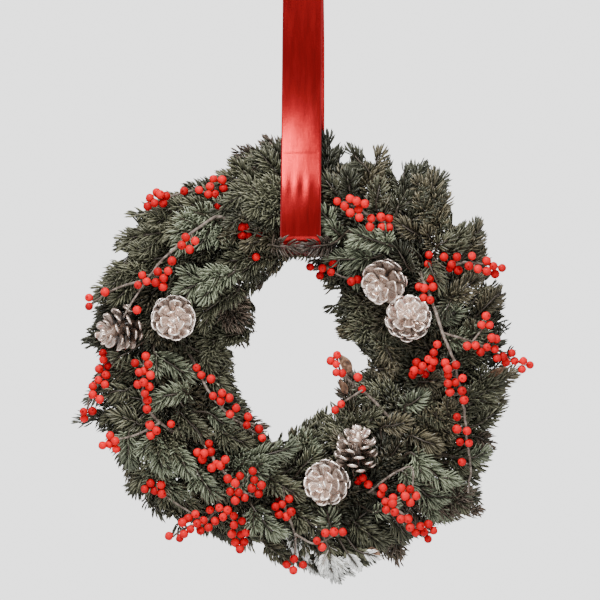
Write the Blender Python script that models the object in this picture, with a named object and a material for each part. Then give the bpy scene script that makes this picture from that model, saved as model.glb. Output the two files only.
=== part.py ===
"""A hanging Christmas wreath: noble fir held in a wire clamp ring, winterberry twigs, painted pine cones
and a satin ribbon loop. Metres, +Z up, the front faces -Y, and the origin is the inside crest of the ribbon.

Places round the ring are given as seen from the front: an angle in degrees, counter-clockwise from the
right, a radius from the ring's centre and how far the point stands out to the front, both in millimetres."""

import math

import bpy
import numpy as np
from mathutils import Vector

MM = 0.001

# Driving sizes of the hanging and the clamp ring
RING_CENTRE_BELOW_HOOK = 460.0
RING_RADIUS = 177.5
RING_WIRE_RADIUS = 2.0
RING_SEGMENTS = 48
RING_SIDES = 4
CLAMP_ANGLES = range(15, 360, 30)
CLAMP_WIRE_RADIUS = 1.0
CLAMP_LOOP_RADIUS = 9.6
CLAMP_OPEN_FROM = -68.0
CLAMP_CHORDS = 4
CLAMP_END_OFFSET = 0.9

# Where the five stems of a clamp lie round the ring's wire: 0 is its outer side, 90 its front
SLOTS = {"A": -20.0, "B": 35.0, "C": 90.0, "D": 145.0, "E": 200.0}
STEM_OFFSET = 4.0
STEM_RADIUS = 1.6
BEND_STEPS = 4
STEM_BEHIND_CLAMP = 7.0
STEM_PAST_CLAMP = 3.0
CLEARANCE = 0.3
# How a stem bends from its clamp to its tip, as shares of the distance between them: how far it still follows the
# ring, how far it lifts away from the wire, how long it runs in line with its tip, and how much of the ring's
# direction that line keeps
FOLLOW_RING = 0.26
LIFT_AWAY = 0.16
RUN_IN = 0.36
KEEP_DIRECTION = 0.25

# The ribbon: its width, its thickness and the route of its middle line as (front, height) pairs
RIBBON_WIDTH = 48.0
RIBBON_THICKNESS = 1.0
RIBBON_MIDDLE_X = -3.0
RIBBON_BEND_RADIUS = 8.0
RIBBON_BEND_HALF_ANGLE = 1.45
RIBBON_BEND_POINTS = 8
RIBBON_FRONT = [(62, 235), (68, 212), (65, 184), (51, 150), (26, 124)]
RIBBON_BACK = [(0, 116), (-23, 124), (-38, 150), (-42, 200), (-36, 260)]

# Noble fir: needle length and thickness, and how many needles and side twigs a spray has
NEEDLE_LENGTH = 27.0
NEEDLE_RADIUS = 0.95
NEEDLE_SPREAD = math.radians(52)
NEEDLES_ON_MAIN = 9
NEEDLES_ON_SIDE = 3
SIDE_TWIGS = ((0.40, 1), (0.55, -1), (0.72, 1))
SIDE_TWIG_SHARE = 0.40
SIDE_TWIG_TURN = math.radians(42)
TWIG_SIDES = 5
TWIG_RADII = (1.6, 1.6, 1.6, 2.6, 2.9, 2.6, 1.8)
TWIG_POINT = 22.0
SIDE_TWIG_RADIUS = 1.8
SIDE_TWIG_ROOT = 1.2
SIDE_TWIG_TILTS = (0, -12, 12, -24, 24)
# The ways a needle is tried in turn: sides of the twig further round, and its share of the full length
NEEDLE_TRIES = ((0, 1), (1, 1), (2, 1), (0, 0.75), (1, 0.75), (3, 1), (0, 0.5), (2, 0.6))
NEEDLE_BODY = 0.75
GOLDEN_TURN = math.radians(137.5)

# Sprays: clamp, slot, then the twig's tip as angle, radius and front
OUTER_SPRAYS = [
    (15, "A", 36, 250, 12), (15, "B", 54, 257, 38), (45, "A", 70, 252, 4), (75, "A", 84, 254, -14),
    (75, "B", 103, 246, 24), (105, "A", 122, 230, -6), (135, "A", 143, 256, 4), (135, "B", 158, 250, 40),
    (165, "A", 177, 250, -4), (195, "A", 209, 246, 4), (195, "B", 222, 246, 40), (225, "A", 241, 232, -8),
    (255, "A", 262, 236, 0), (255, "B", 279, 262, 32), (285, "A", 296, 258, -8), (285, "B", 317, 262, 34),
    (315, "A", 334, 238, -4), (315, "B", 352, 226, 44), (345, "A", 16, 238, 6),
]
FRONT_SPRAYS = [
    (75, "C", 109, 192, 58), (105, "C", 137, 208, 62), (195, "C", 216, 205, 60),
    (225, "C", 250, 152, 64), (315, "C", 340, 190, 64), (345, "C", 8, 208, 56),
]
INNER_SPRAYS = [
    (15, "E", 24, 64, 16), (45, "E", 66, 70, 12), (75, "E", 104, 125.7, 20), (105, "E", 126, 113, 28),
    (135, "E", 157, 88, 22), (165, "E", 184, 97, 26), (195, "E", 213, 106, 20), (225, "E", 245, 117, 22),
    (255, "E", 274, 107, 26), (285, "E", 300, 90, 16), (315, "E", 336, 98, 18), (345, "E", 3, 102, 16),
]
FROSTED_SPRAY = (255, "B")
# Each kind of spray, and how much its flat side faces away from the ring's centre as well as to the front
SPRAYS = (("outer", OUTER_SPRAYS, 0.5), ("front", FRONT_SPRAYS, 0.0), ("inner", INNER_SPRAYS, -0.5))

# Cones: clamp, slot, the middle of the cone as x, height and front, and its axis from base to tip
CONE_LENGTH = 56.0
CONE_RADIUS = 27.0
CONE_SCALES = 14
# The cone's core as shares of its length and radii, then a scale from the base to the tip of the cone: its lean in
# degrees, its root's share of the length, its length as a share of the cone's radius, its width and its thickness
CONE_CORE = ((0, 8), (0.18, 12), (0.55, 9), (0.86, 4))
SCALE_LEAN = (8, 74)
SCALE_ROOT = (0.10, 0.76)
SCALE_LENGTH = (0.93, 0.73)
SCALE_WIDTH = (20, 12)
SCALE_THICKNESS = (3.4, 2.6)
PICK_RADIUS = 1.3
PICK_OFFSET = 3.6
CONES = [
    (165, "C", (-225, 28, 46), (-0.75, 0.60, -0.25)),
    (135, "C", (-156, 42, 64), (0.05, 1.00, -0.15)),
    (45, "C", (92, 83, 56), (-0.35, 0.85, -0.35)),
    (15, "D", (123, 44, 66), (0.00, 0.95, 0.30)),
    (285, "D", (61, -110, 60), (0.07, 0.35, 0.93)),
    (255, "C", (24, -154, 62), (-0.30, 0.95, -0.05)),
]

# Winterberry: each twig's clamp, slot and direction of growth, its route and side twigs as x, height and
# front, and its berries in clusters as x, height and how many the real twig has there
BERRY_RADIUS = 5.0
BERRIES_APART = 11.0
FULL_CLUSTER = 5
BERRY_TWIG_RADIUS = 1.5
PEDICEL_RADIUS = 0.9
PEDICEL_LENGTH = 7.5
BERRY_TWIGS = {
    "top_left": dict(
        clamp=105, slot="B", way=1,
        route=[(-109, 190, 54), (-140, 194, 52), (-172, 182, 44)],
        clusters=[(-104, 178, 1), (-109, 202, 6), (-137, 197, 2), (-179, 184, 6)],
    ),
    "left_long": dict(
        clamp=105, slot="D", way=1,
        route=[(-78, 152, 55), (-107, 162, 78), (-152, 126, 86), (-187, 88, 82), (-214, 43, 84)],
        sides=[[(-187, 88, 82), (-222, 78, 66), (-252, 62, 40)]],
        clusters=[(-71, 145, 5), (-138, 130, 4), (-162, 112, 1), (-172, 90, 5), (-198, 86, 2),
                  (-202, 52, 1), (-240, 73, 1), (-259, 60, 2)],
    ),
    "left_edge": dict(
        clamp=165, slot="B", way=1,
        route=[(-226, -6, 34), (-247, -27, 44), (-256, -50, 42), (-262, -72, 34)],
        clusters=[(-241, -11, 3), (-246, -30, 2), (-254, -46, 4), (-263, -74, 4)],
    ),
    "left_middle": dict(
        clamp=225, slot="D", way=-1,
        route=[(-150, -100, 50), (-172, -82, 76), (-190, -58, 82), (-191, -30, 82), (-191, -8, 78)],
        sides=[[(-172, -82, 76), (-200, -96, 70), (-230, -104, 52)]],
        clusters=[(-191, -8, 3), (-195, -24, 3), (-194, -41, 4), (-188, -60, 3), (-182, -92, 3),
                  (-161, -85, 1), (-232, -106, 4)],
    ),
    "inner_left": dict(
        clamp=165, slot="D", way=1,
        route=[(-140, 0, 38), (-128, -22, 60), (-108, -54, 62), (-84, -78, 52), (-58, -96, 36)],
        clusters=[(-128, -22, 1), (-113, -32, 1), (-102, -54, 4), (-86, -71, 2), (-70, -84, 2), (-55, -97, 2)],
    ),
    "bottom_left": dict(
        clamp=195, slot="D", way=1,
        route=[(-132, -90, 48), (-110, -124, 76), (-94, -140, 82), (-76, -161, 82), (-62, -168, 80)],
        clusters=[(-118, -119, 4), (-102, -132, 3), (-85, -151, 3), (-60, -155, 5), (-80, -170, 4)],
    ),
    "bottom_left_mass": dict(
        clamp=225, slot="B", way=1,
        route=[(-104, -178, 52), (-118, -200, 64), (-140, -207, 54), (-158, -219, 40)],
        sides=[[(-104, -178, 52), (-84, -200, 62), (-78, -224, 50)],
               [(-118, -200, 64), (-150, -182, 58), (-177, -164, 44)]],
        clusters=[(-104, -190, 5), (-118, -206, 4), (-140, -206, 4), (-158, -220, 3), (-80, -202, 4),
                  (-77, -225, 5), (-179, -163, 4)],
    ),
    "bottom": dict(
        clamp=255, slot="D", way=1,
        route=[(-26, -160, 50), (-25, -182, 72), (-12, -214, 64), (-12, -246, 46)],
        sides=[[(-12, -214, 64), (12, -226, 62), (35, -215, 66)]],
        clusters=[(-28, -181, 6), (-13, -252, 4), (36, -215, 3), (18, -229, 2)],
    ),
    "bottom_right": dict(
        clamp=285, slot="C", way=1,
        route=[(76, -166, 44), (96, -172, 76), (112, -187, 76), (130, -204, 64), (147, -214, 50)],
        sides=[[(76, -166, 44), (104, -142, 76), (126, -134, 78), (127, -160, 80)]],
        clusters=[(72, -152, 3), (94, -166, 2), (103, -180, 4), (126, -170, 5), (120, -199, 2),
                  (133, -208, 2), (149, -215, 4)],
    ),
    "right_long": dict(
        clamp=45, slot="D", way=-1,
        route=[(140, 92, 52), (150, 64, 76), (162, 25, 84), (175, -8, 86), (185, -56, 86),
               (191, -98, 80), (196, -138, 66), (194, -166, 50)],
        sides=[[(162, 25, 84), (198, 14, 72), (236, -3, 50), (266, -15, 34)], [(198, 14, 72), (214, 34, 62)]],
        clusters=[(146, 84, 5), (175, -14, 2), (177, -32, 4), (185, -48, 3), (182, -77, 1), (189, -94, 2),
                  (192, -108, 2), (188, -131, 1), (200, 8, 2), (215, 4, 2), (230, -2, 3), (248, -7, 3),
                  (266, -16, 3), (216, 37, 3), (227, 17, 2)],
    ),
    "right_middle": dict(
        clamp=345, slot="D", way=1,
        route=[(152, -30, 44), (146, -18, 72), (155, 3, 80)],
        clusters=[(156, 4, 3), (150, -13, 3), (137, -21, 4)],
    ),
    "top_right": dict(
        clamp=15, slot="C", way=1,
        route=[(172, 92, 40), (182, 107, 68), (205, 107, 60), (233, 103, 40)],
        clusters=[(150, 112, 2), (181, 107, 3), (203, 107, 3), (220, 106, 3), (234, 102, 3)],
    ),
    "top": dict(
        clamp=45, slot="B", way=1,
        route=[(106, 154, 56), (90, 157, 72), (66, 170, 76), (46, 180, 74)],
        clusters=[(46, 181, 4), (62, 173, 4), (82, 157, 3), (97, 155, 3)],
    ),
    "inner_top": dict(
        clamp=75, slot="D", way=1,
        route=[(34, 122, 26), (26, 102, 32), (6, 102, 26)],
        sides=[[(26, 102, 32), (44, 92, 32), (61, 88, 32)]],
        clusters=[(31, 101, 2), (19, 98, 2), (5, 102, 1), (61, 88, 1)],
    ),
    "inner_right": dict(
        clamp=315, slot="D", way=1,
        route=[(96, -72, 44), (68, -44, 50), (44, -24, 46), (38, -6, 42)],
        sides=[[(68, -44, 50), (40, -62, 42)]],
        clusters=[(37, -6, 4), (43, -23, 1), (63, -31, 1), (68, -43, 1), (40, -64, 2)],
    ),
}

FIR_GREEN = (0.052, 0.075, 0.050)
FIR_FROSTED = (0.42, 0.48, 0.41)
CONE_SILVER = (0.50, 0.41, 0.35)
BERRY_RED = (0.72, 0.03, 0.02)
RIBBON_RED = (0.55, 0.035, 0.03)
ENAMEL_GREEN = (0.02, 0.06, 0.03)


# Vectors and paths, in millimetres from the ring's centre, as rows of x, y and z
def at(x, height, front):
    return np.array([x, -front, height], float)


def unit(vector):
    return vector / np.linalg.norm(vector)


def round_ring(angle, radius, front):
    return at(radius * math.cos(math.radians(angle)), radius * math.sin(math.radians(angle)), front)


def in_section(angle, around, offset):
    """A point beside the ring's wire: its angle on the ring, then its angle and distance round the wire."""
    outwards = offset * math.cos(math.radians(around))
    return round_ring(angle, RING_RADIUS + outwards, offset * math.sin(math.radians(around)))


def curve_through(points, steps):
    """A smooth curve through hand-chosen points: Catmull-Rom, with the given number of steps for each span."""
    ends = np.vstack([2 * points[0] - points[1], points, 2 * points[-1] - points[-2]])
    t = np.linspace(0, 1, steps, endpoint=False)[:, None]
    spans = []
    for a, b, c, d in zip(ends, ends[1:], ends[2:], ends[3:]):
        squared, cubed = 2 * a - 5 * b + 4 * c - d, 3 * b - 3 * c + d - a
        spans.append(0.5 * (2 * b + (c - a) * t + squared * t**2 + cubed * t**3))
    return np.vstack(spans + [points[-1:]])


def stem_in_clamp(clamp, slot, way, offset):
    """The stem's stretch beside the ring's wire, and the direction that faces away from the wire."""
    turns = np.linspace(-STEM_BEHIND_CLAMP, STEM_PAST_CLAMP, 3)
    points = np.array([in_section(clamp + way * turn, SLOTS[slot], offset) for turn in turns])
    end = clamp + way * STEM_PAST_CLAMP
    away = unit(in_section(end, SLOTS[slot], offset) - in_section(end, 0, 0))
    return points, away


def sprung_from_clamp(clamp, slot, tip, offset=STEM_OFFSET):
    """A stem along the ring that then bends away to its tip: a cubic curve that starts along the ring."""
    stem, away = stem_in_clamp(clamp, slot, 1, offset)
    start = stem[-1]
    along = unit(stem[-1] - stem[-2])
    reach = np.linalg.norm(tip - start)
    leave = start + reach * (FOLLOW_RING * along + LIFT_AWAY * away)
    arrive = tip - RUN_IN * reach * unit(unit(tip - start) + KEEP_DIRECTION * along)
    t = np.linspace(0, 1, BEND_STEPS + 1)[1:, None]
    bend = (1 - t) ** 3 * start + 3 * t * (1 - t) ** 2 * leave + 3 * t**2 * (1 - t) * arrive + t**3 * tip
    return np.vstack([stem, bend])


def frames_along(path, first):
    """At each point of a path, its direction and two directions across it, carried on without twist."""
    along = np.gradient(path, axis=0)
    across = first
    frames = []
    for forward in along:
        forward = unit(forward)
        across = unit(across - forward * (across @ forward))
        frames.append((forward, across, np.cross(forward, across)))
    return frames


# Closed shapes as (points, faces)
def tube(path, radii, sides, first=np.array([0.31, 0.72, 0.62]), point=0):
    """A tube along a path, whose first corner faces along `first`. Its ends are flat, or its far end runs on to a
    point this much further."""
    turn = np.arange(sides) * math.tau / sides
    radii = np.broadcast_to(radii, len(path))
    points = []
    for centre, (_, across, beside), radius in zip(path, frames_along(path, first), radii):
        points.append(centre + radius * (np.cos(turn)[:, None] * across + np.sin(turn)[:, None] * beside))
    faces = []
    for i in range(len(path) - 1):
        for j in range(sides):
            a, b = i * sides + j, i * sides + (j + 1) % sides
            faces.append((a, b, b + sides, a + sides))
    faces.append(tuple(range(sides))[::-1])
    last = (len(path) - 1) * sides
    if point:
        points.append(path[-1] + point * unit(path[-1] - path[-2]))
        faces += [(last + j, last + (j + 1) % sides, last + sides) for j in range(sides)]
    else:
        faces.append(tuple(range(last, last + sides)))
    return np.vstack(points), faces


def spike(root, tip, radius):
    """A three-sided needle: a triangle at its root, sunk in the twig, that runs to a point at its tip."""
    along = unit(tip - root)
    across = unit(np.cross(along, (0.2, 0.5, 0.84)))
    beside = np.cross(along, across)
    turns = (0, math.tau / 3, 2 * math.tau / 3)
    corners = [root + radius * (math.cos(a) * across + math.sin(a) * beside) for a in turns]
    return np.vstack(corners + [tip]), [(2, 1, 0), (0, 1, 3), (1, 2, 3), (2, 0, 3)]


def ball(centre, radius, towards):
    """An icosahedron, twelve corners on three crossed golden rectangles, with the middle of its first face turned
    towards a direction."""
    g = (1 + math.sqrt(5)) / 2
    corners = np.array([(-1, g, 0), (1, g, 0), (-1, -g, 0), (1, -g, 0), (0, -1, g), (0, 1, g),
                        (0, -1, -g), (0, 1, -g), (g, 0, -1), (g, 0, 1), (-g, 0, -1), (-g, 0, 1)])
    faces = [(0, 11, 5), (0, 5, 1), (0, 1, 7), (0, 7, 10), (0, 10, 11), (1, 5, 9), (5, 11, 4), (11, 10, 2),
             (10, 7, 6), (7, 1, 8), (3, 9, 4), (3, 4, 2), (3, 2, 6), (3, 6, 8), (3, 8, 9), (4, 9, 5),
             (2, 4, 11), (6, 2, 10), (8, 6, 7), (9, 8, 1)]
    middle = corners[list(faces[0])].sum(axis=0)
    turned = corners @ np.array(Vector(middle).rotation_difference(Vector(towards)).to_matrix()).T
    return centre + radius * turned / math.sqrt(1 + g * g), faces


# What each node takes up, as thick segments, so that the next ones are bent clear of it
taken = {}


def keep(node, path, radii):
    radii = np.broadcast_to(radii, len(path))
    rows = [(a, b, max(r, s)) for a, b, r, s in zip(path, path[1:], radii, radii[1:])]
    taken.setdefault(node, []).extend(rows)


def others(node):
    rows = [row for name, segments in taken.items() if name != node for row in segments]
    return np.array([r[0] for r in rows]), np.array([r[1] for r in rows]), np.array([r[2] for r in rows])


def gaps(p, q, starts, ends):
    """The distance from the segment p-q to each of the segments."""
    u, v, w = q - p, ends - starts, p - starts
    uu, vv, uv, uw, vw = u @ u, (v * v).sum(1), v @ u, w @ u, (v * w).sum(1)
    spread = uu * vv - uv * uv
    s = np.clip((uv * vw - vv * uw) / np.maximum(spread, 1e-9), 0, 1)
    t = np.clip((uv * s + vw) / vv, 0, 1)
    s = np.clip((uv * t - uw) / uu, 0, 1)
    return np.linalg.norm(w + s[:, None] * u - t[:, None] * v, axis=1)


def ribbon_line():
    """The middle line of the ribbon as (front, height) points: an arc over the hook, then down round the wreath."""
    crest = RING_CENTRE_BELOW_HOOK - RIBBON_BEND_RADIUS
    mean_radius = RIBBON_BEND_RADIUS + RIBBON_THICKNESS / 2
    turns = np.linspace(-RIBBON_BEND_HALF_ANGLE, RIBBON_BEND_HALF_ANGLE, RIBBON_BEND_POINTS)
    arc = [(mean_radius * math.sin(a), crest + mean_radius * math.cos(a)) for a in turns]
    lower = curve_through(np.array(RIBBON_FRONT + RIBBON_BACK, float), 2)
    return np.vstack([arc, lower])


RIBBON_LINE = ribbon_line()


def clear_of_ribbon(p, q, radius):
    """Whether a segment keeps off the ribbon, tested on the stretch that lies within the ribbon's width."""
    reach = RIBBON_WIDTH / 2 + radius + CLEARANCE
    low, high = RIBBON_MIDDLE_X - reach, RIBBON_MIDDLE_X + reach
    if max(p[0], q[0]) < low or min(p[0], q[0]) > high:
        return True
    span = q[0] - p[0]
    ends = [0.0, 1.0]
    if abs(span) > 1e-6:
        ends = np.clip(sorted([(low - p[0]) / span, (high - p[0]) / span]), 0, 1)
    inside = [(p + t * (q - p)) * (0, 1, 1) for t in ends]
    line = np.column_stack([np.zeros(len(RIBBON_LINE)), -RIBBON_LINE[:, 0], RIBBON_LINE[:, 1]])
    closed = np.vstack([line, line[:1]])
    if np.linalg.norm(inside[1] - inside[0]) < 1e-6:
        inside[1] = inside[0] + (0, 1e-3, 0)
    return gaps(*inside, closed[:-1], closed[1:]).min() > radius + RIBBON_THICKNESS / 2 + CLEARANCE


def is_clear(rows, p, q, radius):
    starts, ends, radii = rows
    return (gaps(p, q, starts, ends) > radii + radius + CLEARANCE).all() and clear_of_ribbon(p, q, radius)


# Objects and materials
def material(name, colour, roughness, metallic=0.0):
    made = bpy.data.materials.new(name)
    made.use_nodes = True
    shader = made.node_tree.nodes["Principled BSDF"]
    shader.inputs["Base Color"].default_value = (*colour, 1)
    shader.inputs["Roughness"].default_value = roughness
    shader.inputs["Metallic"].default_value = metallic
    return made


def add_object(name, shape, finish=None, collection=None):
    """An object in metres, moved from the ring's centre to below the hook."""
    points, faces = shape
    mesh = bpy.data.meshes.new(name)
    placed = (points - (0, 0, RING_CENTRE_BELOW_HOOK)) * MM
    mesh.from_pydata([tuple(p) for p in placed], [], faces)
    if finish:
        mesh.materials.append(finish)
    added = bpy.data.objects.new(name, mesh)
    (collection or bpy.context.scene.collection).objects.link(added)
    return added


def fuse(name, shapes, finish):
    """One body: the first shape, with a Boolean union that joins the rest to it and is then applied."""
    repeats = bpy.data.collections.new(name + "_repeats")
    bpy.context.scene.collection.children.link(repeats)
    for i, shape in enumerate(shapes[1:]):
        add_object(f"{name}_{i}", shape, collection=repeats)
    body = add_object(name, shapes[0], finish)
    union = body.modifiers.new("union", "BOOLEAN")
    union.operation = "UNION"
    union.operand_type = "COLLECTION"
    union.collection = repeats
    union.solver = "EXACT"
    bpy.context.view_layer.update()
    joined = bpy.data.meshes.new_from_object(body.evaluated_get(bpy.context.evaluated_depsgraph_get()))
    body.modifiers.clear()
    body.data = joined
    for piece in list(repeats.objects):
        bpy.data.objects.remove(piece)
    bpy.data.collections.remove(repeats)


# The clamp ring: a ring of steel wire with twelve clamps welded to its back, each bent round five stems
def clamp_ring():
    turn = (np.arange(RING_SEGMENTS) + 0.5) * 360 / RING_SEGMENTS
    around = np.arange(RING_SIDES) * 360 / RING_SIDES
    points = np.array([in_section(a, b, RING_WIRE_RADIUS) for a in turn for b in around])
    faces = []
    for i in range(RING_SEGMENTS):
        for j in range(RING_SIDES):
            here, after = i * RING_SIDES, (i + 1) % RING_SEGMENTS * RING_SIDES
            k = (j + 1) % RING_SIDES
            faces.append((here + j, here + k, after + k, after + j))
    centre_line = np.array([in_section(a, 0, 0) for a in np.append(turn, turn[0])])
    keep("clamp_ring", centre_line, RING_WIRE_RADIUS)
    shapes = [(points, faces)]
    for angle in CLAMP_ANGLES:
        bends = np.linspace(CLAMP_OPEN_FROM, 180 - CLAMP_OPEN_FROM, CLAMP_CHORDS + 1)
        loop = np.array([in_section(angle, bend, CLAMP_LOOP_RADIUS) for bend in bends])
        ends = [in_section(angle, bend, CLAMP_END_OFFSET) for bend in (bends[0], bends[-1])]
        path = np.vstack([ends[:1], loop, ends[1:]])
        along_ring = in_section(angle + 1, 0, 0) - in_section(angle - 1, 0, 0)
        shapes.append(tube(path, CLAMP_WIRE_RADIUS, 3, first=along_ring))
        keep("clamp_ring", path, CLAMP_WIRE_RADIUS)
    fuse("clamp_ring", shapes, material("green_enamelled_steel", ENAMEL_GREEN, 0.45))


def ribbon():
    """A closed band: the middle line offset to both sides by half the thickness, drawn out over the width."""
    line = RIBBON_LINE
    along = np.roll(line, -1, axis=0) - np.roll(line, 1, axis=0)
    along /= np.linalg.norm(along, axis=1)[:, None]
    normal = np.column_stack([along[:, 1], -along[:, 0]])
    corners = []
    for side, edge in ((0.5, -0.5), (0.5, 0.5), (-0.5, 0.5), (-0.5, -0.5)):
        flat = line + side * RIBBON_THICKNESS * normal
        x = np.full(len(line), RIBBON_MIDDLE_X + edge * RIBBON_WIDTH)
        corners.append(np.column_stack([x, -flat[:, 0], flat[:, 1]]))
    points = np.vstack(corners)
    n = len(line)
    faces = []
    for i in range(n):
        j = (i + 1) % n
        for c in range(4):
            d = (c + 1) % 4
            faces.append((c * n + i, d * n + i, d * n + j, c * n + j))
    add_object("ribbon", (points, faces), material("red_satin_ribbon", RIBBON_RED, 0.35))


# A pine cone on its wire pick: a spindle with scales set round it by the golden angle, larger than life
def cone_scale(root, outwards, up, length, width, thickness):
    """A scale: a thick plate, narrow at its root and broad towards its rounded tip, which bends up a little."""
    beside = np.cross(outwards, up)
    outline = [(0, 0), (0.66, -0.5), (1, -0.24), (1, 0.24), (0.66, 0.5)]
    lift = [0, 0.04, 0.16, 0.16, 0.04]
    flat = [root + length * (u * outwards + rise * up) + width * v * beside for (u, v), rise in zip(outline, lift)]
    half = thickness / 2 * up
    points = np.vstack([p + half for p in flat] + [p - half for p in flat])
    n = len(outline)
    faces = [(0, 1, 4), (1, 2, 3, 4), (n + 4, n + 1, n), (n + 4, n + 3, n + 2, n + 1)]
    faces += [(i, n + i, n + (i + 1) % n, (i + 1) % n) for i in range(n)]
    return points, faces


def cone(name, clamp, slot, middle, axis, finish):
    axis = unit(at(axis[0], axis[2], axis[1]))
    centre = at(*middle)
    base = centre - 0.5 * CONE_LENGTH * axis
    side = unit(np.cross(axis, (0.3, 0.2, 0.9)))
    beside = np.cross(axis, side)
    core = np.array([base + share * CONE_LENGTH * axis for share, _ in CONE_CORE])
    shapes = [tube(core, [radius for _, radius in CONE_CORE], 6)]
    for i in range(CONE_SCALES):
        t = i / (CONE_SCALES - 1)
        turn = i * GOLDEN_TURN
        around = math.cos(turn) * side + math.sin(turn) * beside
        lean = math.radians(np.interp(t**1.2, (0, 1), SCALE_LEAN))
        outwards = math.cos(lean) * around + math.sin(lean) * axis
        up = math.cos(lean) * axis - math.sin(lean) * around
        root = base + np.interp(t, (0, 1), SCALE_ROOT) * CONE_LENGTH * axis + 2 * around
        length = CONE_RADIUS * np.interp(t, (0, 1), SCALE_LENGTH)
        width = np.interp(t, (0, 1), SCALE_WIDTH)
        thickness = np.interp(t, (0, 1), SCALE_THICKNESS)
        shapes.append(cone_scale(root, outwards, up, length, width, thickness))
        keep(name, np.array([root, root + 0.94 * length * (outwards + 0.08 * up)]), width / 2)
    pick = sprung_from_clamp(clamp, slot, base + 3 * axis, PICK_OFFSET)
    shapes.append(tube(pick, PICK_RADIUS, 4, first=np.array([0, 1.0, 0])))
    keep(name, pick, PICK_RADIUS)
    fuse(name, shapes, finish)


# Winterberry twigs
def nearest_on(paths, x, height):
    """The point of the twig that lies nearest to a place, as seen from the front."""
    t = np.linspace(0, 1, 9)[:, None]
    points = np.vstack([a + t * (b - a) for path in paths for a, b in zip(path, path[1:])])
    distance = np.hypot(points[:, 0] - x, points[:, 2] - height)
    return points[np.argmin(distance)]


def berry_twig(name, clamp, slot, way, route, clusters, finish, sides=()):
    stem, _ = stem_in_clamp(clamp, slot, way, STEM_OFFSET)
    visible = np.array([at(*p) for p in route])
    bend = curve_through(np.vstack([stem[-1:], visible[:1]]), 2)
    main = np.vstack([stem[:-1], bend, visible[1:]])
    to_ring = in_section(clamp, 0, 0) - in_section(clamp, SLOTS[slot], STEM_OFFSET)
    shapes = [tube(main, np.linspace(STEM_RADIUS, BERRY_TWIG_RADIUS, len(main)), 4, first=unit(to_ring))]
    keep(name, main, STEM_RADIUS)
    growing = [main[len(stem):]]
    for side in sides:
        branch = np.array([at(*p) for p in side])
        growing.append(branch)
        shapes.append(tube(branch, BERRY_TWIG_RADIUS * 0.9, 3))
        keep(name, branch, BERRY_TWIG_RADIUS)
    for i, (x, height, real) in enumerate(clusters):
        holder = nearest_on(growing, x, height)
        centre = np.array([x, holder[1] - PEDICEL_LENGTH, height], float)
        turn = i * GOLDEN_TURN
        apart = BERRIES_APART / 2 * np.array([math.cos(turn), 0, math.sin(turn)])
        for spot in [centre] if real < FULL_CLUSTER else [centre - apart, centre + apart]:
            shapes.append(tube(np.array([holder + 0.5 * unit(spot - holder), spot]), PEDICEL_RADIUS, 3))
            shapes.append(ball(spot, BERRY_RADIUS, holder - spot))
            keep(name, np.array([holder, spot]), PEDICEL_RADIUS)
            keep(name, np.array([spot, spot + (0, 0.01, 0)]), BERRY_RADIUS)
    return name, shapes, finish


# Fir sprays: a main twig, side twigs in one plane and needles all round them
def spray_twigs(name, clamp, slot, tip, face):
    """The twigs of a spray as (path, radii, sides, first corner's direction): the main one from its clamp, then
    the side twigs, which are tilted until they are clear of other pieces."""
    main = sprung_from_clamp(clamp, slot, tip)
    to_ring = unit(in_section(clamp, 0, 0) - in_section(clamp, SLOTS[slot], STEM_OFFSET))
    twigs = [(main, TWIG_RADII, TWIG_SIDES, to_ring)]
    keep(name, main, TWIG_RADII)
    keep(name, np.array([main[-1], main[-1] + NEEDLE_LENGTH * unit(main[-1] - main[-2])]), NEEDLE_RADIUS)
    grown = curve_through(main[2:], 6)
    length = np.linalg.norm(np.diff(grown, axis=0), axis=1).sum()
    for share, hand in SIDE_TWIGS:
        i = int(share * (len(grown) - 1))
        along = unit(grown[i + 1] - grown[i - 1])
        beside = unit(np.cross(face, along)) * hand
        reach = SIDE_TWIG_SHARE * length * (1.15 - 0.6 * share)
        rows = others(name)
        for tilt in SIDE_TWIG_TILTS:
            out = math.cos(SIDE_TWIG_TURN) * along + math.sin(SIDE_TWIG_TURN) * beside
            out = unit(out + math.sin(math.radians(tilt)) * face)
            path = np.array([grown[i] + SIDE_TWIG_ROOT * out, grown[i] + reach * out])
            if is_clear(rows, path[0], path[1] + NEEDLE_LENGTH * out, SIDE_TWIG_RADIUS):
                twigs.append((path, SIDE_TWIG_RADIUS, 3, face))
                keep(name, np.array([path[0], path[1] + NEEDLE_LENGTH * out]), SIDE_TWIG_RADIUS)
                break
    return twigs


def needle_places(path, count):
    """Needle roots as (segment, share of it), spread evenly over the grown part and off the segments' ends."""
    grown = range(2, len(path) - 1) if len(path) > 2 else range(1)
    for i in range(count):
        place = (i + 0.5) / count * len(grown)
        segment = int(place)
        yield grown[segment], 0.12 + 0.7 * (place - segment)


def needles_on(name, twig, count, rows):
    """Needles that leave a twig forwards from the middles of its flat sides, one side after another. A needle
    that would cross another piece is turned or shortened, and left out if it still would."""
    path, _, sides, first = twig
    frames = frames_along(path, first)
    skip = 2 if sides > 3 else 1
    shapes = []
    for i, (segment, share) in enumerate(needle_places(path, count)):
        root = path[segment] + share * (path[segment + 1] - path[segment])
        forward = unit(path[segment + 1] - path[segment])
        _, across, beside = frames[segment]
        for turn, size in NEEDLE_TRIES:
            around = (i * skip + turn + 0.5) * math.tau / sides
            out = math.cos(around) * across + math.sin(around) * beside
            direction = unit(math.cos(NEEDLE_SPREAD) * forward + math.sin(NEEDLE_SPREAD) * out)
            tip = root + size * NEEDLE_LENGTH * direction
            if is_clear(rows, root + direction, tip, NEEDLE_BODY * NEEDLE_RADIUS):
                shapes.append(spike(root, tip, NEEDLE_RADIUS))
                keep(name, np.array([root, tip]), NEEDLE_BODY * NEEDLE_RADIUS)
                break
    return shapes


def clear_scene():
    for old in list(bpy.data.objects):
        bpy.data.objects.remove(old)


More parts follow.
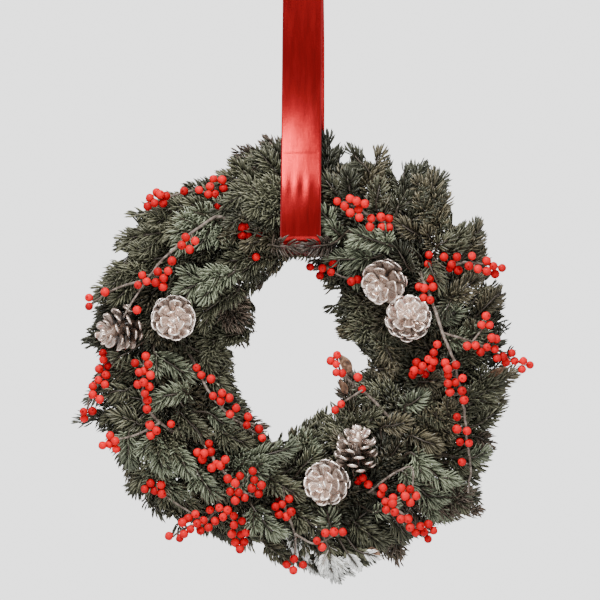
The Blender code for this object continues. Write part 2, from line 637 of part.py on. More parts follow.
def wreath():
    clear_scene()
    clamp_ring()
    ribbon()
    silver = material("silver_painted_cone", CONE_SILVER, 0.38, 0.6)
    for i, placing in enumerate(CONES, 1):
        cone(f"pine_cone_{i}", *placing, silver)
    red = material("winterberry", BERRY_RED, 0.25)
    for name, twig in BERRY_TWIGS.items():
        fuse(*berry_twig(f"berry_twig_{name}", finish=red, **twig))
    green = material("noble_fir", FIR_GREEN, 0.5)
    frosted = material("frosted_fir", FIR_FROSTED, 0.6)
    sprays = []
    for kind, table, outwards in SPRAYS:
        for i, (clamp, slot, angle, radius, front) in enumerate(table, 1):
            name = f"fir_{kind}_{i:02d}"
            face = unit(at(0, 0, 1) + outwards * round_ring(angle, 1, 0))
            twigs = spray_twigs(name, clamp, slot, round_ring(angle, radius, front), face)
            sprays.append((name, frosted if (clamp, slot) == FROSTED_SPRAY else green, twigs))
    for name, finish, twigs in sprays:
        rows = others(name)
        shapes = [tube(*twig, point=TWIG_POINT) for twig in twigs]
        for i, twig in enumerate(twigs):
            shapes += needles_on(name, twig, NEEDLES_ON_SIDE if i else NEEDLES_ON_MAIN, rows)
        fuse(name, shapes, finish)


wreath()
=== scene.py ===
"""The dressed Christmas wreath: noble fir, winterberry, silver-painted cones and a satin ribbon on a clamp ring.

Shapes are worked out in millimetres from the ring's centre, as rows of x, y and z with the front facing -Y, and
are moved below the hook and turned to metres when a piece is made. Angles go counter-clockwise from the right."""

import math

import bpy
import numpy as np
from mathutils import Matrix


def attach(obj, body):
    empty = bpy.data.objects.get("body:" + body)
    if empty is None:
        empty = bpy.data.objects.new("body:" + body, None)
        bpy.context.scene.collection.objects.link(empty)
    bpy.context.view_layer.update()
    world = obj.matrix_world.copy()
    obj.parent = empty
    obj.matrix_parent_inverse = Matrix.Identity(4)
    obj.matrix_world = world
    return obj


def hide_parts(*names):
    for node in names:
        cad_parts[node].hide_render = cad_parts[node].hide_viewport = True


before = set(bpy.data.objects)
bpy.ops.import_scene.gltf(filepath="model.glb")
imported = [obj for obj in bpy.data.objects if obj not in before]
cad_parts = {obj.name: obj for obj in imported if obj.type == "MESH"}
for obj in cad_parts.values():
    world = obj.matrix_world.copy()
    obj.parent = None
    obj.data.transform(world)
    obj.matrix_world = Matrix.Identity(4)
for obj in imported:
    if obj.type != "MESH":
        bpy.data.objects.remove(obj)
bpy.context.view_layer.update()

MM = 0.001
GOLDEN_TURN = math.radians(137.5)
rng = np.random.default_rng(25)

# The hanging and the clamp ring, as in the solids
RING_CENTRE_BELOW_HOOK = 460.0
RING_RADIUS = 177.5
RING_WIRE_RADIUS = 2.0
CLAMP_ANGLES = range(15, 360, 30)
CLAMP_WIRE_RADIUS = 1.0
CLAMP_LOOP_RADIUS = 9.6
CLAMP_OPEN_FROM = -68.0
SLOTS = {"A": -20.0, "B": 35.0, "C": 90.0, "D": 145.0, "E": 200.0}
STEM_OFFSET = 4.0
STEM_RADIUS = 1.6
STEM_BEHIND_CLAMP = 7.0
STEM_PAST_CLAMP = 3.0
CLAMP_END_RADIUS = 2.2
# How a stem leaves the ring: shares of its reach that it follows the ring, lifts off it and runs in to its tip
FOLLOW_RING, LIFT_AWAY, RUN_IN, KEEP_DIRECTION = 0.26, 0.16, 0.36, 0.25

# The picture: its scale, the pixel at the ring's centre, and the camera's distance from the foliage's front
MM_PER_PIXEL = 1.2
RING_CENTRE_PIXEL = (305, 353)
PICTURE_MIDDLE = 300
CAMERA_DISTANCE = 3000.0
TRUE_SCALE_FRONT = 30.0

# Noble fir: needle length, width and thickness, needles for each millimetre of twig, and the lengths of twig where
# needles are shorter, at its foot, and close round its tip
NEEDLE_LENGTH = 22.0
NEEDLE_WIDTH = 2.3
NEEDLE_THICKNESS = 1.1
NEEDLES_PER_MM = 1.15
TWIG_FOOT, TWIG_TIP = 12.0, 14.0

OUTER_SPRAYS = [
    (15, "A", 36, 250, 12), (15, "B", 54, 257, 38), (45, "A", 70, 252, 4), (75, "A", 84, 254, -14),
    (75, "B", 103, 246, 24), (105, "A", 122, 230, -6), (135, "A", 143, 256, 4), (135, "B", 158, 250, 40),
    (165, "A", 177, 250, -4), (195, "A", 209, 246, 4), (195, "B", 222, 246, 40), (225, "A", 241, 232, -8),
    (255, "A", 262, 236, 0), (255, "B", 279, 262, 32), (285, "A", 296, 258, -8), (285, "B", 317, 262, 34),
    (315, "A", 334, 238, -4), (315, "B", 352, 226, 44), (345, "A", 16, 238, 6),
]
FRONT_SPRAYS = [
    (75, "C", 109, 192, 58), (105, "C", 137, 208, 62), (195, "C", 216, 205, 60),
    (225, "C", 250, 152, 64), (315, "C", 340, 190, 64), (345, "C", 8, 208, 56),
]
INNER_SPRAYS = [
    (15, "E", 24, 64, 16), (45, "E", 66, 70, 12), (75, "E", 104, 125.7, 20), (105, "E", 126, 113, 28),
    (135, "E", 157, 88, 22), (165, "E", 184, 97, 26), (195, "E", 213, 106, 20), (225, "E", 245, 117, 22),
    (255, "E", 274, 107, 26), (285, "E", 300, 90, 16), (315, "E", 336, 98, 18), (345, "E", 3, 102, 16),
]
SPRAYS = (("outer", OUTER_SPRAYS, 0.5), ("front", FRONT_SPRAYS, 0.0), ("inner", INNER_SPRAYS, -0.5))
# The tone of each of those sprays, in the order of the tables
SPRAY_TONES = {"outer": "godddogggdgddfobogo", "front": "gpgpog", "inner": "gdddbgdgpggd"}

# Sprays that show between them: the pixel they rise at, the pixel of the tip, tone and how far up they lie
# How far up a spray lies also sets its painted shade: the deeper, the darker
FILLING_SPRAYS = [
    (292, 166, 262, 140, "b", 0.2), (290, 176, 234, 158, "b", 0.3), (288, 186, 216, 176, "g", 0.6),
    (292, 200, 226, 190, "g", 0.9), (222, 190, 186, 187, "d", 0.5), (290, 222, 228, 212, "d", 0.9),
    (222, 204, 150, 214, "g", 0.8), (190, 208, 126, 217, "g", 0.6), (216, 216, 164, 230, "g", 0.8),
    (180, 230, 116, 240, "g", 0.8), (176, 248, 114, 252, "g", 0.5), (160, 258, 104, 270, "g", 0.7),
    (152, 276, 94, 290, "g", 0.8), (150, 296, 96, 312, "d", 0.5), (284, 240, 226, 226, "o", 0.8),
    (276, 252, 216, 264, "g", 0.7), (236, 270, 172, 294, "p", 1.0), (240, 286, 196, 318, "g", 0.9),
    (282, 262, 256, 286, "b", 0.2), (252, 300, 206, 322, "d", 0.6), (254, 326, 198, 346, "g", 0.7),
    (250, 310, 246, 346, "b", 0.3), (118, 336, 86, 346, "d", 0.4), (132, 350, 110, 362, "g", 0.9),
    (154, 352, 194, 380, "p", 0.9), (200, 352, 230, 372, "g", 0.8), (206, 378, 238, 370, "g", 0.9),
    (190, 392, 154, 397, "p", 1.1), (176, 396, 190, 416, "d", 0.8), (130, 388, 104, 394, "g", 0.8),
    (146, 424, 112, 414, "g", 0.8), (122, 418, 86, 421, "d", 0.2), (130, 430, 128, 466, "p", 0.9),
    (154, 434, 164, 474, "p", 1.0), (176, 446, 190, 476, "p", 1.1), (196, 470, 216, 500, "p", 1.0),
    (110, 450, 122, 478, "g", 0.6), (146, 474, 126, 494, "g", 0.3), (146, 496, 164, 516, "g", 0.5),
    (166, 504, 176, 524, "g", 0.4), (178, 410, 206, 440, "g", 0.9), (206, 412, 234, 430, "p", 0.8),
    (216, 430, 250, 446, "g", 0.9), (246, 460, 298, 446, "p", 1.0), (262, 474, 302, 498, "g", 0.9),
    (252, 506, 277, 538, "p", 1.1), (292, 508, 328, 538, "g", 0.8), (262, 540, 284, 560, "o", 0.4),
    (212, 530, 234, 546, "d", 0.3), (236, 396, 250, 408, "b", 0.4), (288, 446, 328, 414, "g", 0.6),
    (326, 178, 329, 134, "d", 0.4), (334, 172, 343, 146, "d", 0.3), (370, 174, 348, 148, "d", 0.7),
    (396, 184, 385, 150, "o", 0.6), (396, 212, 426, 164, "d", 0.9), (414, 212, 446, 174, "d", 0.8),
    (376, 206, 380, 182, "g", 1.0), (338, 196, 324, 178, "g", 0.8), (336, 228, 318, 208, "p", 0.9),
    (344, 236, 328, 226, "p", 0.9), (392, 246, 352, 233, "p", 1.1), (374, 258, 326, 260, "p", 0.9),
    (420, 238, 398, 222, "o", 0.8), (410, 270, 394, 244, "d", 0.8), (456, 250, 448, 214, "g", 0.6),
    (466, 252, 484, 224, "o", 0.6), (444, 256, 466, 226, "g", 0.7), (436, 248, 450, 238, "g", 0.8),
    (446, 302, 480, 276, "o", 0.9), (478, 314, 502, 290, "o", 0.6), (484, 318, 508, 326, "d", 0.2),
    (434, 322, 462, 309, "p", 0.9), (446, 342, 486, 333, "p", 0.9), (366, 288, 340, 298, "d", 0.3),
    (368, 306, 334, 336, "p", 0.4), (352, 304, 326, 310, "d", 0.2), (388, 356, 378, 324, "g", 0.7),
    (352, 286, 334, 272, "g", 0.6), (372, 250, 350, 278, "p", 0.8), (340, 404, 366, 402, "p", 0.5),
    (368, 372, 394, 366, "o", 0.9), (386, 340, 394, 370, "o", 0.8), (418, 384, 440, 379, "o", 1.0),
    (404, 410, 424, 394, "p", 1.0), (470, 400, 504, 382, "g", 0.8), (482, 388, 514, 373, "o", 0.7),
    (476, 404, 514, 396, "o", 0.4), (474, 426, 502, 408, "g", 0.8), (474, 436, 492, 444, "b", 0.6),
    (466, 458, 488, 452, "p", 0.9), (446, 486, 482, 500, "g", 0.8), (410, 452, 450, 488, "p", 1.0),
    (400, 470, 438, 506, "p", 0.9), (422, 498, 450, 518, "p", 0.8), (390, 514, 408, 538, "g", 0.8),
    (392, 534, 399, 556, "b", 0.4), (370, 534, 380, 550, "d", 0.5), (327, 544, 334, 584, "f", 1.3),
    (344, 548, 360, 570, "f", 1.2), (338, 530, 362, 546, "d", 0.4), (104, 342, 128, 362, "d", 0.3),
    (134, 366, 112, 356, "d", 0.3), (500, 352, 518, 372, "d", 0.3), (316, 530, 344, 544, "d", 0.3),
    (150, 306, 130, 322, "d", 0.3), (134, 374, 112, 386, "d", 0.3), (354, 548, 380, 558, "f", 1.1),
    (312, 556, 318, 570, "f", 1.0), (330, 530, 327, 508, "p", 1.0), (334, 544, 348, 560, "d", 0.5),
    (348, 430, 380, 416, "g", 0.8), (380, 430, 410, 420, "o", 0.9), (372, 512, 396, 504, "p", 0.9),
    (300, 470, 318, 452, "g", 0.8), (100, 396, 84, 402, "d", 0.4), (420, 404, 448, 424, "g", 0.9),
    (408, 436, 440, 446, "o", 0.9), (350, 192, 354, 166, "d", 0.6), (362, 190, 384, 148, "o", 0.5),
    (404, 190, 424, 162, "d", 0.7), (446, 456, 484, 468, "g", 0.6), (450, 470, 476, 480, "g", 0.6),
    (462, 492, 480, 512, "b", 0.4), (322, 528, 346, 556, "g", 0.6), (340, 532, 372, 562, "d", 0.5),
    (352, 520, 384, 546, "g", 0.7), (124, 362, 100, 372, "d", 0.5), (118, 376, 102, 380, "g", 0.5),
    (104, 414, 76, 424, "d", 0.3), (232, 520, 256, 548, "g", 0.6), (208, 512, 226, 536, "d", 0.5),
    (322, 558, 344, 584, "f", 1.1), (374, 394, 344, 374, "g", 0.5), (150, 400, 122, 396, "g", 0.6),
    (146, 386, 118, 388, "d", 0.4), (150, 412, 116, 408, "d", 0.4), (152, 368, 112, 372, "g", 0.6),
    (150, 376, 108, 382, "d", 0.4), (334, 243, 304, 248, "b", 1.6), (272, 244, 298, 248, "b", 1.6),
    (372, 384, 346, 390, "o", 0.4), (382, 352, 362, 346, "g", 0.4), (350, 318, 322, 308, "d", 0.3),
    (114, 340, 88, 336, "d", 0.4), (150, 466, 166, 490, "p", 0.8), (222, 396, 246, 416, "d", 0.5),
    (232, 412, 268, 434, "b", 0.4), (256, 340, 236, 350, "d", 0.3), (468, 240, 486, 222, "d", 0.6),
    (488, 300, 508, 292, "d", 0.4), (500, 382, 518, 398, "b", 0.3), (386, 540, 402, 562, "b", 0.3),
    (128, 478, 132, 498, "f", 0.3), (136, 480, 146, 504, "f", 0.2), (326, 270, 306, 262, "d", 0.3),
    (330, 282, 314, 274, "d", 0.3), (236, 206, 214, 212, "d", 0.9), (246, 214, 222, 206, "g", 0.8),
    (428, 262, 440, 290, "g", 1.0), (452, 300, 440, 318, "d", 1.0), (158, 470, 178, 500, "p", 0.8),
    (168, 480, 192, 512, "g", 0.7), (186, 500, 214, 520, "d", 0.5), (206, 506, 238, 530, "g", 0.5),
    (160, 478, 156, 506, "d", 0.4), (112, 366, 92, 384, "d", 0.5), (108, 386, 88, 400, "d", 0.4),
    (352, 200, 346, 172, "d", 0.7), (370, 196, 366, 168, "o", 0.5), (140, 380, 118, 400, "d", 0.5),
    (408, 226, 434, 204, "d", 0.8), (430, 236, 444, 214, "d", 0.6), (440, 310, 452, 288, "d", 0.6),
    (446, 372, 462, 352, "d", 0.6), (350, 524, 372, 508, "d", 0.6), (440, 480, 468, 494, "p", 0.8),
    (380, 380, 352, 386, "d", 0.5), (378, 388, 350, 396, "p", 0.7),
]

# Cones: clamp, slot, the middle of the cone as x, height and front, its axis from base to tip, its brightness, and
# whether its scales are spread flat like petals
CONE_LENGTH = 56.0
CONE_RADIUS = 27.0
PICK_RADIUS = 1.3
PICK_OFFSET = 3.6
CONES = [
    (165, "C", (-225, 28, 46), (-0.75, 0.60, -0.25), 0.72, False),
    (135, "C", (-156, 42, 64), (0.05, 1.00, -0.15), 1.0, True),
    (45, "C", (92, 83, 56), (-0.35, 0.85, -0.35), 0.84, True),
    (15, "D", (123, 44, 66), (0.00, 0.95, 0.30), 1.05, True),
    (285, "D", (61, -110, 60), (0.07, 0.35, 0.93), 0.9, False),
    (255, "C", (24, -154, 62), (-0.30, 0.95, -0.05), 1.0, True),
]

# Winterberry: clamp, slot and direction of growth, route and side twigs as x, height and front, and the pixel of
# each berry
BERRY_RADIUS = 5.3
BERRY_RED = "#de0a1b"
BERRY_TWIGS = {
    "top_left": dict(
        clamp=105, slot="B", way=1, route=[(-109, 190, 54), (-140, 194, 52), (-172, 182, 44)],
        berries=[(157, 194), (152, 198), (164, 197), (155, 202), (148, 206), (162, 201), (184, 191), (199, 190),
                 (214, 179), (210, 187), (223, 186), (222, 182), (214, 194), (209, 194), (218, 206), (160, 195)],
    ),
    "left_long": dict(
        clamp=105, slot="D", way=1,
        route=[(-78, 152, 55), (-107, 162, 78), (-152, 126, 86), (-187, 88, 82), (-214, 43, 84)],
        sides=[[(-187, 88, 82), (-222, 78, 66), (-252, 62, 40)]],
        berries=[(242, 227), (246, 227), (242, 235), (248, 236), (259, 235), (256, 257), (195, 241), (189, 249),
                 (185, 239), (183, 244), (172, 261), (158, 272), (164, 278), (156, 283), (167, 273), (143, 276),
                 (138, 285), (137, 310), (89, 298), (89, 306), (105, 292), (148, 281), (161, 284)],
    ),
    "left_edge": dict(
        clamp=165, slot="B", way=1, route=[(-226, -6, 34), (-247, -27, 44), (-256, -50, 42), (-262, -72, 34)],
        berries=[(104, 360), (99, 369), (107, 365), (106, 375), (99, 381), (93, 386), (93, 395), (99, 399),
                 (92, 411), (84, 413), (84, 417), (103, 354), (104, 384)],
    ),
    "left_middle": dict(
        clamp=225, slot="D", way=-1,
        route=[(-150, -100, 50), (-172, -82, 76), (-190, -58, 82), (-191, -30, 82), (-191, -8, 78)],
        sides=[[(-172, -82, 76), (-200, -96, 70), (-230, -104, 52)]],
        berries=[(146, 357), (135, 363), (148, 364), (140, 372), (144, 371), (150, 375), (139, 384), (143, 383),
                 (148, 388), (146, 393), (147, 401), (147, 407), (150, 425), (156, 431), (151, 435), (171, 424),
                 (110, 436), (115, 441), (108, 444), (116, 449), (104, 445)],
    ),
    "inner_left": dict(
        clamp=165, slot="D", way=1,
        route=[(-140, 0, 38), (-128, -22, 60), (-108, -54, 62), (-84, -78, 52), (-58, -96, 36)],
        berries=[(198, 370), (211, 379), (213, 396), (222, 394), (229, 398), (221, 400), (236, 408), (230, 414),
                 (248, 418), (247, 424), (259, 429), (262, 438), (200, 373)],
    ),
    "bottom_left": dict(
        clamp=195, slot="D", way=1,
        route=[(-132, -90, 48), (-110, -124, 76), (-94, -140, 82), (-76, -161, 82), (-62, -168, 80)],
        berries=[(209, 444), (210, 452), (204, 455), (203, 457), (216, 465), (221, 464), (224, 461), (228, 479),
                 (240, 476), (235, 483), (253, 473), (254, 480), (253, 487), (261, 485), (258, 493), (232, 492),
                 (238, 494), (243, 497), (236, 499), (198, 453), (213, 467)],
    ),
    "bottom_left_mass": dict(
        clamp=225, slot="B", way=1,
        route=[(-104, -178, 52), (-118, -200, 64), (-140, -207, 54), (-158, -219, 40)],
        sides=[[(-104, -178, 52), (-84, -200, 62), (-78, -224, 50)],
               [(-118, -200, 56), (-150, -182, 44), (-177, -164, 38)]],
        berries=[(150, 485), (161, 485), (155, 490), (161, 493), (210, 510), (227, 510), (220, 508), (223, 517),
                 (215, 521), (204, 521), (197, 525), (208, 527), (191, 529), (183, 522), (189, 518), (180, 538),
                 (169, 536), (184, 534), (234, 516), (242, 521), (234, 525), (232, 534), (242, 535), (245, 533),
                 (236, 543), (240, 548), (243, 542), (194, 515), (146, 488), (200, 530)],
    ),
    "bottom": dict(
        clamp=255, slot="D", way=1,
        route=[(-26, -160, 50), (-25, -182, 72), (-12, -214, 50), (-12, -246, 34)],
        sides=[[(-12, -214, 64), (12, -226, 62), (35, -215, 66)]],
        berries=[(277, 499), (281, 505), (289, 499), (280, 514), (291, 512), (285, 516), (294, 559), (287, 565),
                 (293, 570), (303, 565), (326, 533), (334, 532), (342, 532), (317, 541), (322, 547), (277, 507)],
    ),
    "bottom_right": dict(
        clamp=285, slot="C", way=1,
        route=[(76, -166, 44), (96, -172, 76), (112, -187, 76), (130, -204, 64), (147, -214, 50)],
        sides=[[(76, -166, 44), (104, -142, 76), (126, -134, 78), (127, -160, 80)]],
        berries=[(363, 478), (368, 484), (358, 481), (383, 488), (381, 494), (392, 499), (387, 502), (392, 504),
                 (394, 511), (387, 509), (403, 489), (406, 495), (410, 502), (415, 495), (409, 491), (401, 519),
                 (408, 519), (410, 527), (419, 528), (424, 532), (428, 539), (429, 525), (433, 530), (417, 531)],
    ),
    "right_long": dict(
        clamp=45, slot="D", way=-1,
        route=[(140, 92, 52), (150, 64, 76), (162, 25, 84), (175, -8, 86), (185, -56, 86), (191, -98, 80),
               (196, -138, 66), (194, -166, 50)],
        sides=[[(162, 25, 84), (198, 14, 72), (236, -3, 50), (266, -15, 34)], [(198, 14, 72), (214, 34, 62)]],
        berries=[(430, 279), (419, 287), (425, 288), (432, 287), (424, 298), (430, 300), (446, 365), (456, 365),
                 (448, 374), (450, 383), (455, 382), (461, 379), (450, 392), (462, 391), (464, 400), (457, 417),
                 (457, 429), (467, 431), (460, 442), (469, 443), (462, 462), (468, 346), (475, 346), (481, 351),
                 (487, 348), (494, 349), (499, 358), (502, 358), (506, 361), (515, 361), (522, 361), (530, 365),
                 (522, 369), (512, 353), (486, 316), (482, 325), (489, 325), (496, 339), (492, 338), (447, 368)],
    ),
    "right_middle": dict(
        clamp=345, slot="D", way=1, route=[(152, -30, 44), (146, -18, 72), (155, 3, 80)],
        berries=[(437, 345), (434, 352), (429, 360), (433, 361), (424, 366), (430, 367), (415, 368), (425, 374),
                 (419, 371), (414, 374), (416, 365)],
    ),
    "top_right": dict(
        clamp=15, slot="C", way=1, route=[(172, 92, 40), (182, 107, 68), (205, 107, 60), (233, 103, 40)],
        berries=[(429, 255), (428, 264), (457, 257), (452, 265), (458, 270), (472, 256), (469, 266), (478, 269),
                 (487, 261), (487, 271), (493, 266), (495, 274), (502, 268), (444, 257), (450, 268)],
    ),
    "top": dict(
        clamp=45, slot="B", way=1, route=[(106, 154, 56), (90, 157, 72), (66, 170, 76), (46, 180, 74)],
        berries=[(338, 202), (351, 199), (344, 206), (356, 201), (364, 204), (351, 212), (358, 211), (359, 216),
                 (371, 219), (381, 217), (389, 219), (370, 226), (382, 227), (389, 227)],
    ),
    "inner_top": dict(
        clamp=75, slot="D", way=1, route=[(34, 122, 26), (26, 102, 32), (6, 102, 26)],
        sides=[[(26, 102, 32), (44, 92, 32), (61, 88, 32)]],
        berries=[(310, 267), (322, 269), (331, 272), (320, 275), (333, 263), (356, 280), (353, 281)],
    ),
    "inner_right": dict(
        clamp=315, slot="D", way=1, route=[(96, -72, 44), (68, -44, 50), (44, -24, 46), (38, -6, 42)],
        sides=[[(68, -44, 50), (40, -62, 42)]],
        berries=[(337, 355), (331, 361), (336, 365), (341, 373), (337, 372), (358, 377), (362, 389), (340, 405),
                 (336, 409)],
    ),
}

# The ribbon: width, thickness, its bend over the hook, and the route of its middle line as front and height
RIBBON_WIDTH = 48.0
RIBBON_THICKNESS = 0.5
RIBBON_MIDDLE_X = -3.0
RIBBON_BEND_RADIUS = 8.0
RIBBON_CREST = RING_CENTRE_BELOW_HOOK - RIBBON_BEND_RADIUS
RIBBON_FRONT = [(45, 235), (54.6, 215), (60.2, 202), (64.6, 190), (68.5, 178), (71.9, 166), (74.8, 154), (77, 144),
                (78.2, 137.5), (76.8, 131.5), (71, 127.8), (55, 125), (27, 122.5)]
RIBBON_BACK = [(0, 116), (-23, 124), (-38, 150), (-42, 200), (-36, 260)]
RIBBON_FOLD_HEIGHT = 239.0
# The two strands as fronts and heights, which the foliage keeps clear of
STRAND_BEFORE = np.array([(20, 120)] + RIBBON_FRONT[::-1] + [(24, 290), (11, 360), (RIBBON_BEND_RADIUS, RIBBON_CREST)])
STRAND_BEHIND = np.array(RIBBON_BACK + [(-RIBBON_BEND_RADIUS, RIBBON_CREST)])
# Needles may cross the ribbon's edges before it, and all of it at its foot, and pass under it
RIBBON_EDGE, EDGE_CROSSED_BELOW, FOOT_CROSSED_BELOW, RIBBON_LOWEST = 15.0, 208.0, 137.0, 112.0

# Dried leaves caught in the foliage: the pixel of the stalk and of the tip, front, width in millimetres
DRIED_LEAVES = [(351, 373, 338, 354, 44, 13), (347, 394, 338, 379, 42, 9), (488, 377, 506, 366, 38, 8),
                (368, 548, 381, 556, 34, 7)]


# Vectors, paths and colours
def at(x, height, front):
    """The point at x, a height above the ring's centre and a distance to the front."""
    return np.array([x, -front, height], float)


def unit(vectors):
    """The vectors with their length made one."""
    return vectors / np.linalg.norm(vectors, axis=-1, keepdims=True)


def from_pixel(px, py, front):
    """The point at a given front that the camera sees at a pixel: the picture's plane scaled towards its middle."""
    middle_x = (PICTURE_MIDDLE - RING_CENTRE_PIXEL[0]) * MM_PER_PIXEL
    middle_z = (RING_CENTRE_PIXEL[1] - PICTURE_MIDDLE) * MM_PER_PIXEL
    nearer = 1 - (front - TRUE_SCALE_FRONT) / CAMERA_DISTANCE
    x = (px - PICTURE_MIDDLE) * MM_PER_PIXEL * nearer + middle_x
    height = (PICTURE_MIDDLE - py) * MM_PER_PIXEL * nearer + middle_z
    return at(x, height, front)


def round_ring(angle, radius, front):
    """The point at an angle, a radius from the ring's centre and a distance to the front."""
    return at(radius * math.cos(math.radians(angle)), radius * math.sin(math.radians(angle)), front)


def in_section(angle, around, offset):
    """A point beside the ring's wire: its angle on the ring, then its angle and distance round the wire."""
    outwards = offset * math.cos(math.radians(around))
    return round_ring(angle, RING_RADIUS + outwards, offset * math.sin(math.radians(around)))


def curve_through(points, steps):
    """A smooth curve through listed points: Catmull-Rom, with the given number of steps for each span."""
    ends = np.vstack([2 * points[0] - points[1], points, 2 * points[-1] - points[-2]])
    t = np.linspace(0, 1, steps, endpoint=False)[None, :, None]
    a, b, c, d = (ends[i:len(ends) - 3 + i, None] for i in range(4))
    squared, cubed = 2 * a - 5 * b + 4 * c - d, 3 * b - 3 * c + d - a
    spans = 0.5 * (2 * b + (c - a) * t + squared * t**2 + cubed * t**3)
    return np.vstack([spans.reshape(-1, points.shape[1]), points[-1:]])


def along_path(path, shares):
    """The points and directions at shares of a path's length, and the length."""
    lengths = np.concatenate([[0], np.cumsum(np.linalg.norm(np.diff(path, axis=0), axis=1))])
    directions = unit(np.gradient(path, axis=0))
    where = np.asarray(shares) * lengths[-1]
    points = np.stack([np.interp(where, lengths, path[:, k]) for k in range(3)], axis=1)
    ways = np.stack([np.interp(where, lengths, directions[:, k]) for k in range(3)], axis=1)
    return points, unit(ways), lengths[-1]


def sprung_from_clamp(clamp, around, tip, offset=STEM_OFFSET, steps=14):
    """A stem along the ring that then bends away to its tip: a cubic curve that starts along the ring."""
    turns = np.linspace(-STEM_BEHIND_CLAMP, STEM_PAST_CLAMP, 4)
    stem = np.array([in_section(clamp + turn, around, offset) for turn in turns])
    start = stem[-1]
    away = unit(start - in_section(clamp + STEM_PAST_CLAMP, 0, 0))
    along = unit(stem[-1] - stem[-2])
    reach = np.linalg.norm(tip - start)
    leave = start + reach * (FOLLOW_RING * along + LIFT_AWAY * away)
    arrive = tip - RUN_IN * reach * unit(unit(tip - start) + KEEP_DIRECTION * along)
    t = np.linspace(0, 1, steps + 1)[1:, None]
    bend = (1 - t) ** 3 * start + 3 * t * (1 - t) ** 2 * leave + 3 * t**2 * (1 - t) * arrive + t**3 * tip
    return np.vstack([stem, bend])


def linear(code):
    """An sRGB hex colour as linear red, green and blue."""
    part = np.array([int(code[i:i + 2], 16) for i in (1, 3, 5)]) / 255
    return np.where(part <= 0.04045, part / 12.92, ((part + 0.055) / 1.055) ** 2.4)


# Fir tones: the upper side of a needle in shade, its upper side, and its paler under side
TONES = {key: [linear(code) for code in codes] for key, codes in {
    "g": ("#20241a", "#4a4c39", "#a6a388"), "p": ("#2f372a", "#6a725a", "#c4c9b0"),
    "d": ("#1d1e19", "#35372a", "#747360"), "o": ("#29261b", "#585340", "#a0957a"),
    "b": ("#2a231d", "#574a3e", "#968679"), "f": ("#eef1ea", "#fbfcf8", "#ffffff"),
}.items()}
FIR_BARK, FROSTED_BARK = linear("#3d352d"), linear("#b4b0a6")
# The frosted twig at the bottom is white only below this height
FROST_BELOW = -238.0


class Stock:
    """Points, four- and three-cornered faces and a colour for each point, gathered for one piece."""

    def __init__(self):
        self.points, self.quads, self.tris, self.tints, self.count = [], [], [], [], 0

    def add(self, points, quads, tris, tints):
        self.points.append(points)
        self.quads.append(np.asarray(quads, int).reshape(-1, 4) + self.count)
        self.tris.append(np.asarray(tris, int).reshape(-1, 3) + self.count)
        self.tints.append(np.broadcast_to(tints, points.shape))
        self.count += len(points)

    def piece(self, name, finish, nodes, slot):
        gathered = (np.vstack(rows) for rows in (self.points, self.quads, self.tris, self.tints))
        return make_piece(name, *gathered, finish, nodes, slot)


def make_piece(name, points, quads, tris, tints, finish, nodes, slot):
    """An object whose place is in its mesh: millimetres from the ring's centre turned to metres below the hook."""
    mesh = bpy.data.meshes.new(name)
    placed = (points - (0, 0, RING_CENTRE_BELOW_HOOK)) * MM
    corners = np.concatenate([quads.ravel(), tris.ravel()])
    starts = np.concatenate([np.arange(len(quads)) * 4, len(quads) * 4 + np.arange(len(tris)) * 3])
    mesh.vertices.add(len(placed))
    mesh.vertices.foreach_set("co", placed.astype(np.float32).ravel())
    mesh.loops.add(len(corners))
    mesh.loops.foreach_set("vertex_index", corners.astype(np.int32))
    mesh.polygons.add(len(starts))
    mesh.polygons.foreach_set("loop_start", starts.astype(np.int32))
    mesh.polygons.foreach_set("use_smooth", np.ones(len(starts), bool))
    if tints is not None:
        layer = mesh.color_attributes.new("tint", "FLOAT_COLOR", "POINT")
        layer.data.foreach_set("color", np.column_stack([tints, np.ones(len(tints))]).astype(np.float32).ravel())
    mesh.update(calc_edges=True)
    mesh.validate()
    mesh.materials.append(finish)
    made = bpy.data.objects.new(name, mesh)
    bpy.context.scene.collection.objects.link(made)
    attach(made, "root")
    if nodes:
        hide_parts(*nodes)
    return made


def grid_faces(rows, columns, round_rows=False, round_columns=False):
    """Four-cornered faces between the points of a grid, closed round along its rows or columns where asked."""
    i = np.arange(rows if round_rows else rows - 1)[:, None]
    j = np.arange(columns if round_columns else columns - 1)[None, :]
    here, after, k = i * columns, (i + 1) % rows * columns, (j + 1) % columns
    return np.stack([here + j, here + k, after + k, after + j], axis=-1).reshape(-1, 4)


def sheet_faces(rows, columns):
    """The faces of a grid in two layers, the lower one rows * columns points later: both sides and a wall that
    follows the rim all round."""
    upper = np.roll(grid_faces(rows, columns)[:, ::-1], 1, axis=1)
    size, i, j = rows * columns, np.arange(rows), np.arange(columns)
    rim = np.concatenate([j, i[1:] * columns + columns - 1, size - columns + j[-2::-1], i[-2:0:-1] * columns])
    after = np.roll(rim, -1)
    wall = np.stack([rim, after, after + size, rim + size], axis=-1)
    return np.vstack([upper, upper[:, ::-1] + size, wall])


def tube_faces(rings, sides):
    """The faces of a tube whose circles follow each other, with a pole before the first circle and after the last:
    the poles are points number rings * sides and rings * sides + 1."""
    first, last, j = rings * sides, (rings - 1) * sides, np.arange(sides)
    k = (j + 1) % sides
    near = np.stack([k, j, np.full(sides, first)], axis=-1)
    far = np.stack([last + j, last + k, np.full(sides, first + 1)], axis=-1)
    return grid_faces(rings, sides, round_columns=True), np.vstack([near, far])


